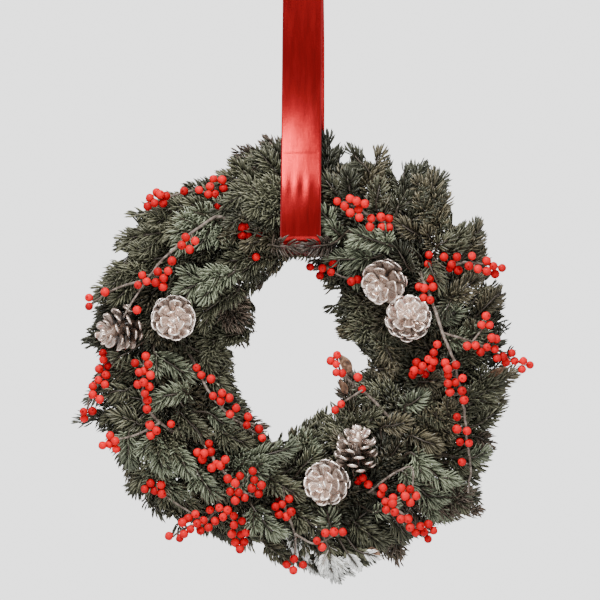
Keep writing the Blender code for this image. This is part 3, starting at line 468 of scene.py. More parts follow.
def pipe(path, radii, sides, face):
    """A round rod: a circle of the given radius across each point of a path, and a pole 0.6 radii past each end."""
    radii = np.broadcast_to(radii, len(path)).astype(float)
    along = unit(np.gradient(path, axis=0))
    across = unit(np.cross(along, face))
    beside = np.cross(along, across)
    turn = np.arange(sides) * math.tau / sides
    circle = np.cos(turn)[None, :, None] * across[:, None] + np.sin(turn)[None, :, None] * beside[:, None]
    points = (path[:, None] + radii[:, None, None] * circle).reshape(-1, 3)
    poles = [path[0] - 0.6 * radii[0] * along[0], path[-1] + 0.6 * radii[-1] * along[-1]]
    return np.vstack([points, poles]), *tube_faces(len(path), sides)


# Needles
NEEDLE_STATIONS = (0.0, 0.30, 0.76, 1.0)


def needles_along(path, face, first, per_mm, size, tone, shade, broad_by):
    """Needles on a twig from a share of its length on. They follow each other by the golden turn, crowd towards the
    twig's upper side as if combed up, leave it at a wide angle, bend forwards and up, and close round the tip. On
    frosted twigs they lie flat in two rows. Each is a quadratic curve; its broad side faces up. Returns their
    stations, directions, widths and colours."""
    frosted = tone == "f"
    wide, short = (56, 0.66) if frosted else (70, 1.0)
    total = along_path(path, [0])[2]
    count = max(6, int(total * (1 - first) * per_mm))
    shares = first + (1 - first) * (np.arange(count) + rng.uniform(0, 1, count)) / count
    root, along, _ = along_path(path, shares)
    up = unit(face - along * (along @ face)[:, None])
    side = np.cross(along, up)
    turn = np.arange(count) * GOLDEN_TURN + rng.normal(0, 0.15, count)
    turn = (turn + math.pi) % math.tau - math.pi
    lean = np.sign(turn) * math.pi
    if frosted:
        turn = lean * (0.46 + rng.normal(0, 0.05, count))
    else:
        turn = 0.64 * lean * (np.abs(turn) / math.pi) ** 0.62
    out = np.cos(turn)[:, None] * up + np.sin(turn)[:, None] * side
    near_tip = np.clip((shares - 1 + TWIG_TIP / total) * total / TWIG_TIP, 0, 1)
    past_foot = np.clip((shares - first) * total / TWIG_FOOT, 0, 1)
    spread = np.radians(wide - 0.6 * wide * near_tip + rng.normal(0, 5, count))[:, None]
    leave = unit(np.cos(spread) * along + np.sin(spread) * out)
    later = spread - math.radians(36)
    arrive = unit(np.cos(later) * along + np.sin(later) * out + 0.16 * up)
    length = NEEDLE_LENGTH * size * short * rng.uniform(0.80, 1.05, count) * (1 - 0.25 * near_tip)
    length = (length * (0.70 + 0.30 * past_foot))[:, None]
    stations = [root + length * (t * leave + 0.5 * t * t * (arrive - leave)) for t in NEEDLE_STATIONS]
    hint = up + 0.30 * rng.normal(0, 1, (count, 3))
    broad = unit(np.cross(hint, leave))
    thin = np.cross(leave, broad)
    dark, upper, under = TONES[tone]
    mix = np.clip(rng.normal(0.5, 0.24, (count, 1)), 0, 1)
    top = (dark + (upper - dark) * (0.35 + 0.75 * mix)) * shade
    low = (upper + (under - upper) * (0.40 + 0.60 * mix)) * shade
    if frosted:
        bare = (root[:, :1] > 0) & (root[:, 2:] > FROST_BELOW)
        top, low = np.where(bare, TONES["g"][1], top), np.where(bare, TONES["g"][2], low)
    width = NEEDLE_WIDTH * broad_by * rng.uniform(0.85, 1.1, (count, 1))
    rows = dict(root=stations[0], near=stations[1], bend=stations[2], tip=stations[3])
    return dict(rows, broad=broad, thin=thin, width=width, top=top, low=low)


def needle_stock(stock, rows, fine):
    """Adds needles as slim closed spindles: a point, three-cornered sections, a point. Fine needles have sections
    near the root and near the end, hidden ones a single section in the middle. Two corners of a section are the
    edges of the upper side, the third is the paler keel below."""
    broad, thin, width, top, low = (rows[k] for k in ("broad", "thin", "width", "top", "low"))
    edge = 0.6 * top + 0.4 * low
    middle = 0.5 * (rows["near"] + rows["bend"])
    sections = [(rows["near"], 0.44, 0.8), (rows["bend"], 0.50, 1.05)] if fine else [(middle, 0.50, 1.0)]
    # Painted shade and light: a needle is painted half as bright at its root, where it meets the twig, and lighter
    # towards its tip
    points, tints = [rows["root"]], [0.5 * top]
    for place, half, paint in sections:
        across, keel = half * width * broad, half * NEEDLE_THICKNESS * thin
        points += [place + across, place - across, place - 1.2 * keel]
        tints += [paint * top, paint * edge, paint * low]
    points = np.stack(points + [rows["tip"]], axis=1)
    tints = np.stack(tints + [1.15 * edge], axis=1)
    size = points.shape[1]
    j = np.arange(3)
    k = (j + 1) % 3
    tris = np.vstack([np.stack([1 + k, 1 + j, 0 * j], axis=-1),
                      np.stack([size - 4 + j, size - 4 + k, 0 * j + size - 1], axis=-1)])
    quads = np.stack([1 + j, 1 + k, 4 + k, 4 + j], axis=-1) if fine else np.zeros((0, 4), int)
    shift = np.arange(len(points))[:, None, None] * size
    stock.add(points.reshape(-1, 3), quads[None] + shift, tris[None] + shift, tints.reshape(-1, 3))


def joined(rows):
    """The needles of several twigs as one set of rows."""
    return {key: np.vstack([row[key] for row in rows]) for key in rows[0]}


# What the needles keep clear of: the middles of cones and berries, the ribbon, and the outline of the wreath
cone_middles = np.array([at(*cone[2]) for cone in CONES])
# The least distance in space and as the camera sees it: to a cone's middle, and to a berry's skin and middle
CONE_CLEAR, CONE_SEEN_CLEAR, CONE_SEEN_FROM = 25.0, 22.0, 4.0
BERRY_CLEAR, BERRY_SEEN_CLEAR = 0.4, 4.0
# The foliage's outline as radii in pixels, every 5 degrees, and that of its hole, every 10 degrees
OUTLINE_OUT = [
    212, 200, 201, 206, 207, 211, 210, 217, 209, 208, 227, 229, 220, 212, 226, 212, 214, 228, 226, 220, 219, 212,
    212, 204, 202, 208, 211, 221, 222, 219, 222, 212, 218, 224, 216, 219, 209, 208, 220, 236, 220, 219, 221, 222,
    228, 221, 218, 226, 212, 209, 210, 203, 208, 218, 219, 228, 229, 225, 220, 229, 218, 224, 222, 233, 231, 214,
    214, 207, 205, 208, 206, 218]
OUTLINE_IN = [62, 52, 39, 36, 38, 46, 45, 60, 74, 92, 93, 84, 82, 78, 64, 57, 56, 68, 72, 72, 75, 76, 77, 82, 83, 81,
              77, 68, 63, 58, 55, 46, 44, 60, 62, 64]
BACK_PLANE = 44.0
# Narrow gaps in that outline, and narrow tips beyond it, with their tone: a pixel and a radius in pixels
NOTCHES = [(345, 158, 5), (335, 142, 4), (369, 153, 6), (398, 169, 6), (456, 220, 5), (121, 257, 6), (131, 223, 5),
           (142, 207, 4), (490, 280, 4), (506, 348, 4), (333, 297, 7), (275, 434, 6), (286, 437, 4),
           (336, 400, 4), (330, 410, 3), (172, 525, 5), (259, 550, 5)]
TIPS = [(386, 145, 8, "o"), (427, 161, 5, "d"), (448, 176, 7, "d"), (477, 222, 8, "g"), (484, 234, 5, "o"),
        (502, 296, 6, "d"), (507, 325, 6, "d"), (492, 446, 7, "d"), (478, 511, 9, "b"),
        (399, 563, 7, "b"), (335, 585, 9, "f"), (352, 575, 7, "f"), (324, 576, 6, "f"), (155, 514, 6, "d"),
        (78, 421, 9, "d"), (86, 343, 7, "d"), (129, 216, 6, "g"), (236, 150, 7, "b"), (248, 148, 6, "b"),
        (265, 139, 6, "b"), (242, 342, 10, "b"), (270, 276, 6, "d"), (282, 263, 6, "d"), (313, 263, 6, "d"),
        (323, 277, 7, "g"), (326, 311, 6, "d"), (362, 351, 5, "d"), (352, 378, 12, "b"), (344, 384, 8, "b"),
        (250, 410, 5, "g"), (237, 387, 5, "d")]


def within(points, circles, grow=0.0):
    """Whether the camera sees points inside any of some circles given in pixels, made larger by `grow` mm."""
    seen = points[:, ::2] * (1 - (points[:, 1:2] + TRUE_SCALE_FRONT) / CAMERA_DISTANCE)
    middles = np.array([from_pixel(px, py, TRUE_SCALE_FRONT)[::2] for px, py, *_ in circles])
    reach = np.array([circle[2] for circle in circles]) * MM_PER_PIXEL + grow
    return (np.linalg.norm(seen[:, None] - middles[None], axis=2) < reach).any(axis=1)


def outline(angle, margin=0.0):
    """The foliage's inner and outer radius in millimetres at an angle in degrees, drawn in by a margin."""
    inner = np.interp(angle % 360, np.arange(37) * 10, OUTLINE_IN + OUTLINE_IN[:1]) * MM_PER_PIXEL
    outer = np.interp(angle % 360, np.arange(73) * 5, OUTLINE_OUT + OUTLINE_OUT[:1]) * MM_PER_PIXEL
    return inner + margin, outer - margin


def ribbon_line():
    """The ribbon's middle line as front and height: over the hook, down the front in a line that leans out more and
    more, round the wreath's top and up again behind it."""
    mean_radius = RIBBON_BEND_RADIUS + RIBBON_THICKNESS / 2
    turns = np.linspace(-math.pi / 2, math.pi / 2, 17)
    arc = np.column_stack([mean_radius * np.sin(turns), RIBBON_CREST + mean_radius * np.cos(turns)])
    front_end, back_start = np.array(RIBBON_FRONT[0], float), np.array(RIBBON_BACK[-1], float)
    s = np.linspace(0, 1, 60)[1:, None]
    fold = (arc[-1, 1] - RIBBON_FOLD_HEIGHT - np.linspace(-2.4, 2.4, 9)) / (arc[-1, 1] - front_end[1])
    t = np.sort(np.concatenate([s[:, 0], fold]))
    down = arc[-1] + (front_end - arc[-1]) * np.column_stack([t**2.85, t])
    up = back_start + (arc[0] - back_start) * s
    lower = curve_through(np.array(RIBBON_FRONT + RIBBON_BACK, float), 8)
    return np.vstack([arc, down[:-1], lower, up[:-1]])


def kept(rows, trim):
    """Drops the needles that would cross a cone, a berry or the ribbon or hide it from the front, that would pass
    the wreath's back plane, and those that would pass its outline by more than `trim` millimetres."""
    mid, tip = rows["bend"], rows["tip"]
    good = (mid[:, 1] < BACK_PLANE) & (tip[:, 1] < BACK_PLANE)
    for point in (mid, tip, rows["near"], rows["root"]):
        for centre in cone_middles:
            apart = point - centre
            crosses = np.linalg.norm(apart, axis=1) < CONE_CLEAR
            hides = (np.hypot(apart[:, 0], apart[:, 2]) < CONE_SEEN_CLEAR) & (apart[:, 1] < -CONE_SEEN_FROM)
            good &= ~(crosses | hides)
        x, front, height = point[:, 0], -point[:, 1], point[:, 2]
        aside = np.abs(x - RIBBON_MIDDLE_X)
        before = front - np.interp(height, STRAND_BEFORE[:, 1], STRAND_BEFORE[:, 0])
        behind = front - np.interp(height, STRAND_BEHIND[:, 1], STRAND_BEHIND[:, 0])
        # Needles may lie 1.2 mm before the front strand, or between the strands, 2.5 mm from either
        over_edge = (before > 1.2) & (aside > RIBBON_EDGE) & (height < EDGE_CROSSED_BELOW)
        over_foot = (before > 1.2) & (height < FOOT_CROSSED_BELOW)
        between = (before < -2.5) & (behind > 2.5)
        free = (aside > RIBBON_WIDTH / 2 + 0.6) | (height < RIBBON_LOWEST)
        good &= free | over_edge | over_foot | between
    for point in (mid, tip, rows["near"]):
        apart = point[:, None] - berry_middles[None]
        crosses = np.linalg.norm(apart, axis=2) <= BERRY_RADIUS + BERRY_CLEAR
        hides = (np.hypot(apart[..., 0], apart[..., 2]) < BERRY_SEEN_CLEAR) & (apart[..., 1] < 0)
        good &= ~(crosses | hides).any(axis=1)
    inner, outer = outline(np.degrees(np.arctan2(tip[:, 2], tip[:, 0])))
    radius = np.hypot(tip[:, 0], tip[:, 2]) * (1 + (-tip[:, 1] - TRUE_SCALE_FRONT) / CAMERA_DISTANCE)
    good &= ((radius < outer + trim) & (radius > inner - trim)) | within(tip, TIPS)
    good &= ~within(tip, NOTCHES) & ~within(mid, NOTCHES)
    return {key: value[good] for key, value in rows.items()}


def inside_outline(path, first):
    """Cuts a twig where its grown part leaves the foliage's outline, and gives the bare share of what is left."""
    shares = np.linspace(0, 1, 40)
    points = along_path(path, shares)[0]
    inner, outer = outline(np.degrees(np.arctan2(points[:, 2], points[:, 0])), margin=7)
    radius = np.hypot(points[:, 0], points[:, 2])
    beyond = ((radius < inner) | (radius > outer)) & ~within(points, TIPS, grow=14)
    outside = (shares > first) & (beyond | within(points, NOTCHES, grow=2))
    last = np.argmax(outside) if outside.any() else 39
    return points[:last + 1], first / shares[last]


def spray(stock, main, face, tone, first, sides, side_share, per_mm=NEEDLES_PER_MM, size=1.0, trim=8.0, shade=1.0,
          broad_by=1.0, fine=True):
    """A spray of fir: its main twig, side twigs that leave it by turns to both sides and curve forwards, and needles
    on the grown part of all of them. `first` is the share of the main twig that is bare stem, `side_share` a side
    twig's length as a share of the grown part, and `fine` gives rounder twigs and fuller needles."""
    face = unit(face)
    main, first = inside_outline(main, first)
    if first > 0.8:
        return
    main = main[::3] if (len(main) - 1) % 3 == 0 else np.vstack([main[::3], main[-1:]])
    radii = np.interp(np.linspace(0, 1, len(main)), [0, 0.5, 1], [STEM_RADIUS, 1.5, 0.8])
    bark = FROSTED_BARK if tone == "f" else FIR_BARK
    aslant = face + (0.01, 0.02, 0.03)
    stock.add(*pipe(main, radii, 6 if fine else 4, aslant), FIR_BARK)
    length = along_path(main, [0])[2] * (1 - first)
    shade = shade * rng.uniform(0.78, 1.22)
    rows = [needles_along(main, face, first, per_mm, size, tone, shade, broad_by)]
    for i, share in enumerate(np.linspace(0.08, 0.80, sides)):
        base, along, _ = along_path(main, [first + (1 - first) * share])
        base, along = base[0], along[0]
        beside = unit(np.cross(face, along)) * (1 if i % 2 else -1)
        turn = math.radians(rng.uniform(38, 48))
        out = unit(math.cos(turn) * along + math.sin(turn) * beside + rng.uniform(-0.10, 0.28) * face)
        reach = side_share * length * (1.18 - 0.62 * share) * rng.uniform(0.85, 1.1)
        for _ in range(4):
            end = base + reach * (out + 0.16 * (along - out))
            inner, outer = outline(math.degrees(math.atan2(end[2], end[0])), margin=13)
            if inner < math.hypot(end[0], end[2]) < outer:
                break
            reach *= 0.72
        if reach < 9:
            continue
        t = np.linspace(0, 1, 5)[:, None]
        path = base + reach * (t * out + 0.16 * t**2 * (along - out) + 0.05 * t**2 * face)
        stock.add(*pipe(path, np.linspace(1.1, 0.7, 5), 5 if fine else 3, aslant), bark)
        rows.append(needles_along(path, face, 0.04, per_mm, size * 0.94, tone, shade, broad_by))
    needle_stock(stock, kept(joined(rows), trim), fine)


# Materials
def linked(tree, made, links):
    """Links a node's inputs: (input, source node, source output)."""
    for socket, source, output in links:
        tree.links.new(source.outputs[output], made.inputs[socket])
    return made


def node(tree, kind, links=(), stops=(), **settings):
    """Adds a node. Settings by name go to its properties or, with an underscore for a space, to its inputs; stops
    are a colour ramp's places and hex colours; links are (input, source node, source output)."""
    made = tree.nodes.new("ShaderNode" + kind)
    for name, value in settings.items():
        if hasattr(made, name):
            setattr(made, name, value)
        else:
            made.inputs[name.replace("_", " ")].default_value = value
    while stops and len(made.color_ramp.elements) < len(stops):
        made.color_ramp.elements.new(0.5)
    for k, (place, code) in enumerate(stops):
        made.color_ramp.elements[k].position = place
        made.color_ramp.elements[k].color = (*linear(code), 1)
    return linked(tree, made, links)


def finish_of(name, **sockets):
    """A material with its tree and its shader, whose uniform values are set on the shader itself."""
    made = bpy.data.materials.new(name)
    made.use_nodes = True
    shader = made.node_tree.nodes["Principled BSDF"]
    for key, value in sockets.items():
        shader.inputs[key.replace("_", " ")].default_value = value
    return made, made.node_tree, shader


def grained(tree, shader, grain, detail, bump=0.0, depth=0.0):
    """Noise on the piece's own coordinates, with grains of a size in millimetres. With a bump it also raises the
    surface, by that strength and a depth in millimetres. Returns the coordinates and the noise."""
    place = node(tree, "TexCoord")
    noise = node(tree, "TexNoise", [("Vector", place, "Object")], Scale=1 / (grain * MM), Detail=detail)
    if bump:
        raised = node(tree, "Bump", [("Height", noise, "Fac")], Strength=bump, Distance=depth * MM)
        linked(tree, shader, [("Normal", raised, 0)])
    return place, noise


def tinted(tree, shader, grain, low, high, bump=0.0):
    """The points' own colours, made lighter and darker in patches of the given size, and a bump of that size."""
    _, noise = grained(tree, shader, grain, 3.0, bump, 0.4)
    tint = node(tree, "Attribute", attribute_name="tint")
    vary = node(tree, "MapRange", [("Value", noise, "Fac")], From_Min=0.3, From_Max=0.7, To_Min=low, To_Max=high)
    mixed = node(tree, "VectorMath", [(0, tint, "Color"), ("Scale", vary, 0)], operation="SCALE")
    linked(tree, shader, [("Base Color", mixed, 0)])


def fir_finish():
    """Noble fir: waxy needles, dark and slightly glossy above, with pale bands of wax below. The wax gives a broad
    soft sheen, and its bloom varies from patch to patch."""
    made, tree, shader = finish_of("noble_fir_needles", Roughness=0.42, IOR=1.45, Specular_IOR_Level=0.5)
    tinted(tree, shader, 24.0, 0.70, 1.30, 0.15)
    return made


def berry_finish():
    """Winterberry skin: taut and smooth, so each berry carries one small soft highlight, and opaque."""
    made, tree, shader = finish_of("winterberry_skin", Roughness=0.33, IOR=1.4, Specular_IOR_Level=0.10)
    tinted(tree, shader, 4.0, 0.90, 1.10)
    return made


def bark_finish():
    """Winterberry bark: smooth, grey-brown, with small pale spots (lenticels) about 1 mm across, 3 mm apart."""
    made, tree, shader = finish_of("winterberry_bark", Roughness=0.72)
    place, noise = grained(tree, shader, 5.556, 4.0, 0.5, 0.6)
    base = node(tree, "ValToRGB", [("Fac", noise, "Fac")], [(0.30, "#3a302a"), (0.52, "#665a51"), (0.72, "#8d8177")])
    spots = node(tree, "TexVoronoi", [("Vector", place, "Object")], Scale=1 / (3.03 * MM))
    spot = node(tree, "ValToRGB", [("Fac", spots, "Distance")], [(0.16, "#ffffff"), (0.26, "#000000")])
    mixed = node(tree, "Mix", [("Factor", spot, "Color"), ("A", base, 0)], data_type="RGBA", B=(*linear("#a69a8e"), 1))
    linked(tree, shader, [("Base Color", mixed, "Result")])
    return made


def cone_finish():
    """Dry cone scales under sprayed silver-champagne paint: the paint covers the scales' ends and thins out towards
    their roots, so the gaps stay brown. The tint's red channel holds the share of paint, and metallic follows it."""
    made, tree, shader = finish_of("silver_painted_scales", Roughness=0.24, Coat_Weight=0.5, Coat_Roughness=0.16)
    _, noise = grained(tree, shader, 2.381, 4.0, 0.08, 0.5)
    tint = node(tree, "Attribute", attribute_name="tint")
    split = node(tree, "SeparateColor", [("Color", tint, "Color")])
    lift = node(tree, "MapRange", [("Value", noise, "Fac")], From_Min=0.3, From_Max=0.7, To_Min=-0.06, To_Max=0.06)
    paint = node(tree, "Math", [(0, split, "Red"), (1, lift, 0)], operation="ADD")
    stops = [(0.05, "#241a14"), (0.26, "#5c493d"), (0.46, "#c3ada0"), (0.66, "#e9d5c9"), (0.90, "#fdf1e8")]
    colour = node(tree, "ValToRGB", [("Fac", paint, 0)], stops)
    shine = node(tree, "MapRange", [("Value", paint, 0)], From_Min=0.3, From_Max=0.6, To_Min=0.0, To_Max=0.9)
    linked(tree, shader, [("Base Color", colour, 0), ("Metallic", shine, 0)])
    return made


def satin_finish():
    """Polyester satin: a warp-faced weave whose long floats run along the ribbon, so highlights stretch across it.
    Warp threads lie about 0.12 mm apart; they are drawn as streaks 0.5 mm wide and 22 mm long to show at all, under
    broad clouds. The selvedges are woven tighter and lie a little lighter."""
    made, tree, shader = finish_of("red_satin", Roughness=0.262, Metallic=0.88, Specular_IOR_Level=0.05,
                                   Specular_Tint=(*linear("#f9e7e7"), 1))
    cloth = node(tree, "UVMap", uv_map="cloth")
    stretch = node(tree, "Mapping", [("Vector", cloth, 0)], Scale=(2.0, 0.045, 1.0))
    streaks = node(tree, "TexNoise", [("Vector", stretch, 0)], Scale=1.0, Detail=5.0, Roughness=0.65)
    broad = node(tree, "Mapping", [("Vector", cloth, 0)], Scale=(0.16, 0.02, 1.0))
    clouds = node(tree, "TexNoise", [("Vector", broad, 0)], Scale=1.0, Detail=2.0)
    mixed = node(tree, "Mix", [("A", streaks, "Fac"), ("B", clouds, "Fac")], Factor=0.5)
    split = node(tree, "SeparateXYZ", [(0, cloth, 0)])
    across = node(tree, "Math", [(0, split, "X")], operation="ABSOLUTE")
    selvedge = node(tree, "MapRange", [("Value", across, 0)], From_Min=RIBBON_WIDTH / 2 - 1.6,
                    From_Max=RIBBON_WIDTH / 2 - 0.8, To_Min=0.0, To_Max=0.5)
    both = node(tree, "Math", [(0, mixed, "Result"), (1, selvedge, 0)], operation="ADD")
    stops = [(0.36, "#641012"), (0.50, "#711114"), (0.64, "#7d1417"), (1.0, "#a63337")]
    colour = node(tree, "ValToRGB", [("Fac", both, 0)], stops)
    raised = node(tree, "Bump", [("Height", streaks, "Fac")], Strength=0.25, Distance=0.3 * MM)
    linked(tree, shader, [("Base Color", colour, 0), ("Normal", raised, 0)])
    return made


def enamel_finish():
    """Green enamel baked on steel wire: a gloss coat, slightly wavy, thinner and darker in patches of 8 mm."""
    made, tree, shader = finish_of("green_wire_enamel", Roughness=0.35, Coat_Weight=0.3)
    _, noise = grained(tree, shader, 8.333, 3.0, 0.2, 0.3)
    base = node(tree, "ValToRGB", [("Fac", noise, "Fac")], [(0.35, "#10231a"), (0.7, "#1f3a2a")])
    linked(tree, shader, [("Base Color", base, 0)])
    return made


def leaf_finish():
    """A dried leaf: dull tan to brown, blotched in patches of about 4 mm."""
    made, tree, shader = finish_of("dried_leaf", Roughness=0.7)
    _, noise = grained(tree, shader, 3.846, 4.0, 0.5, 0.6)
    base = node(tree, "ValToRGB", [("Fac", noise, "Fac")], [(0.32, "#3d2a1f"), (0.52, "#6a4c38"), (0.72, "#94775f")])
    linked(tree, shader, [("Base Color", base, 0)])
    return made


# The clamp ring
def wire_ring(finish):
    """The ring is a torus, a circle carried round a circle; each clamp is a wire round an open arc of its section."""
    stock = Stock()
    rings, sides = 144, 10
    turn = np.arange(rings)[:, None] * math.tau / rings
    around = np.arange(sides)[None, :] * math.tau / sides
    outwards = RING_RADIUS + RING_WIRE_RADIUS * np.cos(around)
    y = np.broadcast_to(-RING_WIRE_RADIUS * np.sin(around), (rings, sides))
    points = np.stack([outwards * np.cos(turn), y, outwards * np.sin(turn)], axis=-1)
    stock.add(points.reshape(-1, 3), grid_faces(rings, sides, True, True), [], (1, 1, 1))
    bends = np.linspace(CLAMP_OPEN_FROM, 180 - CLAMP_OPEN_FROM, 25)
    loop = [(bend, CLAMP_LOOP_RADIUS) for bend in bends]
    places = [(bends[0], CLAMP_END_RADIUS)] + loop + [(bends[-1], CLAMP_END_RADIUS)]
    for angle in CLAMP_ANGLES:
        path = np.array([in_section(angle, bend, radius) for bend, radius in places])
        along_ring = in_section(angle + 1, 0, 0) - in_section(angle - 1, 0, 0)
        stock.add(*pipe(path, CLAMP_WIRE_RADIUS, 8, unit(along_ring)), (1, 1, 1))
    return stock.piece("wire_clamp_ring", finish, ["clamp_ring"], "green_enamelled_steel")


# The ribbon
def satin_ribbon(finish):
    """A closed band of satin: its middle line drawn out over the width, bowed a little across, pressed in at the
    fold, unevenly slack where it bends over the foliage, and given its thickness by a second layer joined at the
    selvedges. The back strand lies 3 mm further right, as the photo shows it beside the front one."""
    line = ribbon_line()
    rows, columns = len(line), 25
    lengths = np.concatenate([[0], np.cumsum(np.linalg.norm(np.diff(np.vstack([line, line[:1]]), axis=0), axis=1))])
    along = unit(np.roll(line, -1, axis=0) - np.roll(line, 1, axis=0))
    normal = np.column_stack([along[:, 1], -along[:, 0]])
    normal *= -1 if normal[rows // 4, 0] < 0 else 1
    v = np.linspace(-1, 1, columns)[None, :]
    front, height, s = line[:, :1], line[:, 1:], lengths[:-1, None]
    on_front = np.interp(front, [8, 40], [0, 1]) * np.interp(height, [126, 156], [0, 1])
    fold = on_front * np.exp(-((height - RIBBON_FOLD_HEIGHT) / 0.8) ** 2)
    bow = 0.9 * (1 - v**2) * (0.3 + 0.7 * on_front)
    ripple = 0.35 * np.sin(s / 21.0 + 1.3) * v**2 * np.sin(3 * v + s / 60)
    # The cloth is slack about 196 mm above the ring's centre, where it starts to bend over the foliage
    slack = on_front * np.exp(-((height - 196) / 14) ** 2)
    uneven = np.convolve(rng.normal(0, 1, columns + 4), (0.12, 0.22, 0.32, 0.22, 0.12), "valid")
    lift = bow + ripple - 0.15 * fold * (v**2 < 0.8) + 0.38 * slack * uneven[None, :]
    behind = np.clip((10 - front) / 30, 0, 1) * 3.0
    aside = behind - np.interp(height, [130, 440], [2.5, 0]) * (front > 0)
    x = RIBBON_MIDDLE_X + 0.5 * RIBBON_WIDTH * v + aside
    layers = []
    for side in (0.5, -0.5):
        flat = line[:, None] + (lift + side * RIBBON_THICKNESS)[..., None] * normal[:, None]
        layers.append(np.stack([x, -flat[..., 0], flat[..., 1]], axis=-1).reshape(-1, 3))
    size = rows * columns
    upper = grid_faces(rows, columns, round_rows=True)
    left = np.arange(rows) * columns
    left_next = np.roll(left, -1)
    right, right_next = left + columns - 1, left_next + columns - 1
    edges = np.vstack([np.stack([left, left_next, left_next + size, left + size], axis=-1),
                       np.stack([right_next, right, right + size, right_next + size], axis=-1)])
    quads = np.vstack([upper, upper[:, ::-1] + size, edges])
    made = make_piece("satin_ribbon_loop", np.vstack(layers), quads, np.zeros((0, 3), int), None, finish, ["ribbon"],
                      "red_satin_ribbon")
    # The cloth's own map in millimetres, across and along; the faces that close the loop end at its full length
    corner = np.zeros(len(made.data.loops), np.int32)
    made.data.loops.foreach_get("vertex_index", corner)
    row, column = corner % size // columns, corner % columns
    spans = row.reshape(-1, 4)
    closing = np.repeat(spans.max(axis=1) - spans.min(axis=1) > rows // 2, 4) & (row == 0)
    uv = np.column_stack([0.5 * RIBBON_WIDTH * v[0, column], np.where(closing, lengths[-1], lengths[row])])
    made.data.uv_layers.new(name="cloth").data.foreach_set("uv", uv.astype(np.float32).ravel())
    return made


# Cones
def cone_scales(spread):
    """Where each scale of a cone starts and ends, as height along the axis and distance from it, and its turn, width
    and thickness. The ends lie on the cone's egg shape, and the lean grows from level at the base to upright. On a
    cone that is spread, the upper scales lie flat like petals."""
    count = 34 if spread else 36
    t = np.arange(count) / (count - 1)
    if spread:
        ends = CONE_LENGTH * (0.12 + 0.78 * t), CONE_RADIUS * np.interp(
            t, [0, 0.2, 0.55, 0.70, 0.80, 0.90, 1], [0.92, 1.02, 1.0, 0.88, 0.74, 0.52, 0.22])
        starts = CONE_LENGTH * (0.07 + 0.66 * t), np.interp(t, [0, 0.5, 0.8, 1], [6.5, 5.0, 2.5, 1.0])
        width = np.interp(t, [0, 0.3, 0.75, 0.9, 1], [14.6, 16.8, 15.8, 12.5, 9.0])
    else:
        ends = CONE_LENGTH * (0.09 + 0.91 * t), CONE_RADIUS * np.interp(
            t, [0, 0.18, 0.42, 0.65, 0.82, 0.93, 1], [0.92, 1.02, 0.98, 0.84, 0.62, 0.38, 0.10])
        starts = CONE_LENGTH * (0.07 + 0.74 * t), np.interp(t, [0, 0.5, 1], [6.5, 6.0, 2.2])
        width = np.interp(t, [0, 0.3, 0.7, 1], [13.0, 14.4, 12.0, 7.0])
    return t, np.arange(count) * GOLDEN_TURN, starts, ends, width, np.interp(t, [0, 1], [2.6, 1.8])


# Along a scale from its root to its lip: the stations, and half its width, its swelling and its share of paint there
SCALE_STATIONS = np.array([0.0, 0.30, 0.58, 0.76, 0.88, 0.96, 1.0])
SCALE_HALF_WIDTHS = np.array([0.18, 0.32, 0.48, 0.50, 0.42, 0.28, 0.12])
SCALE_SWELL = np.array([0.30, 0.40, 0.75, 1.35, 1.80, 1.45, 0.60])
SCALE_PAINT = np.array([0.02, 0.22, 0.42, 0.60, 0.84, 0.98, 1.0])


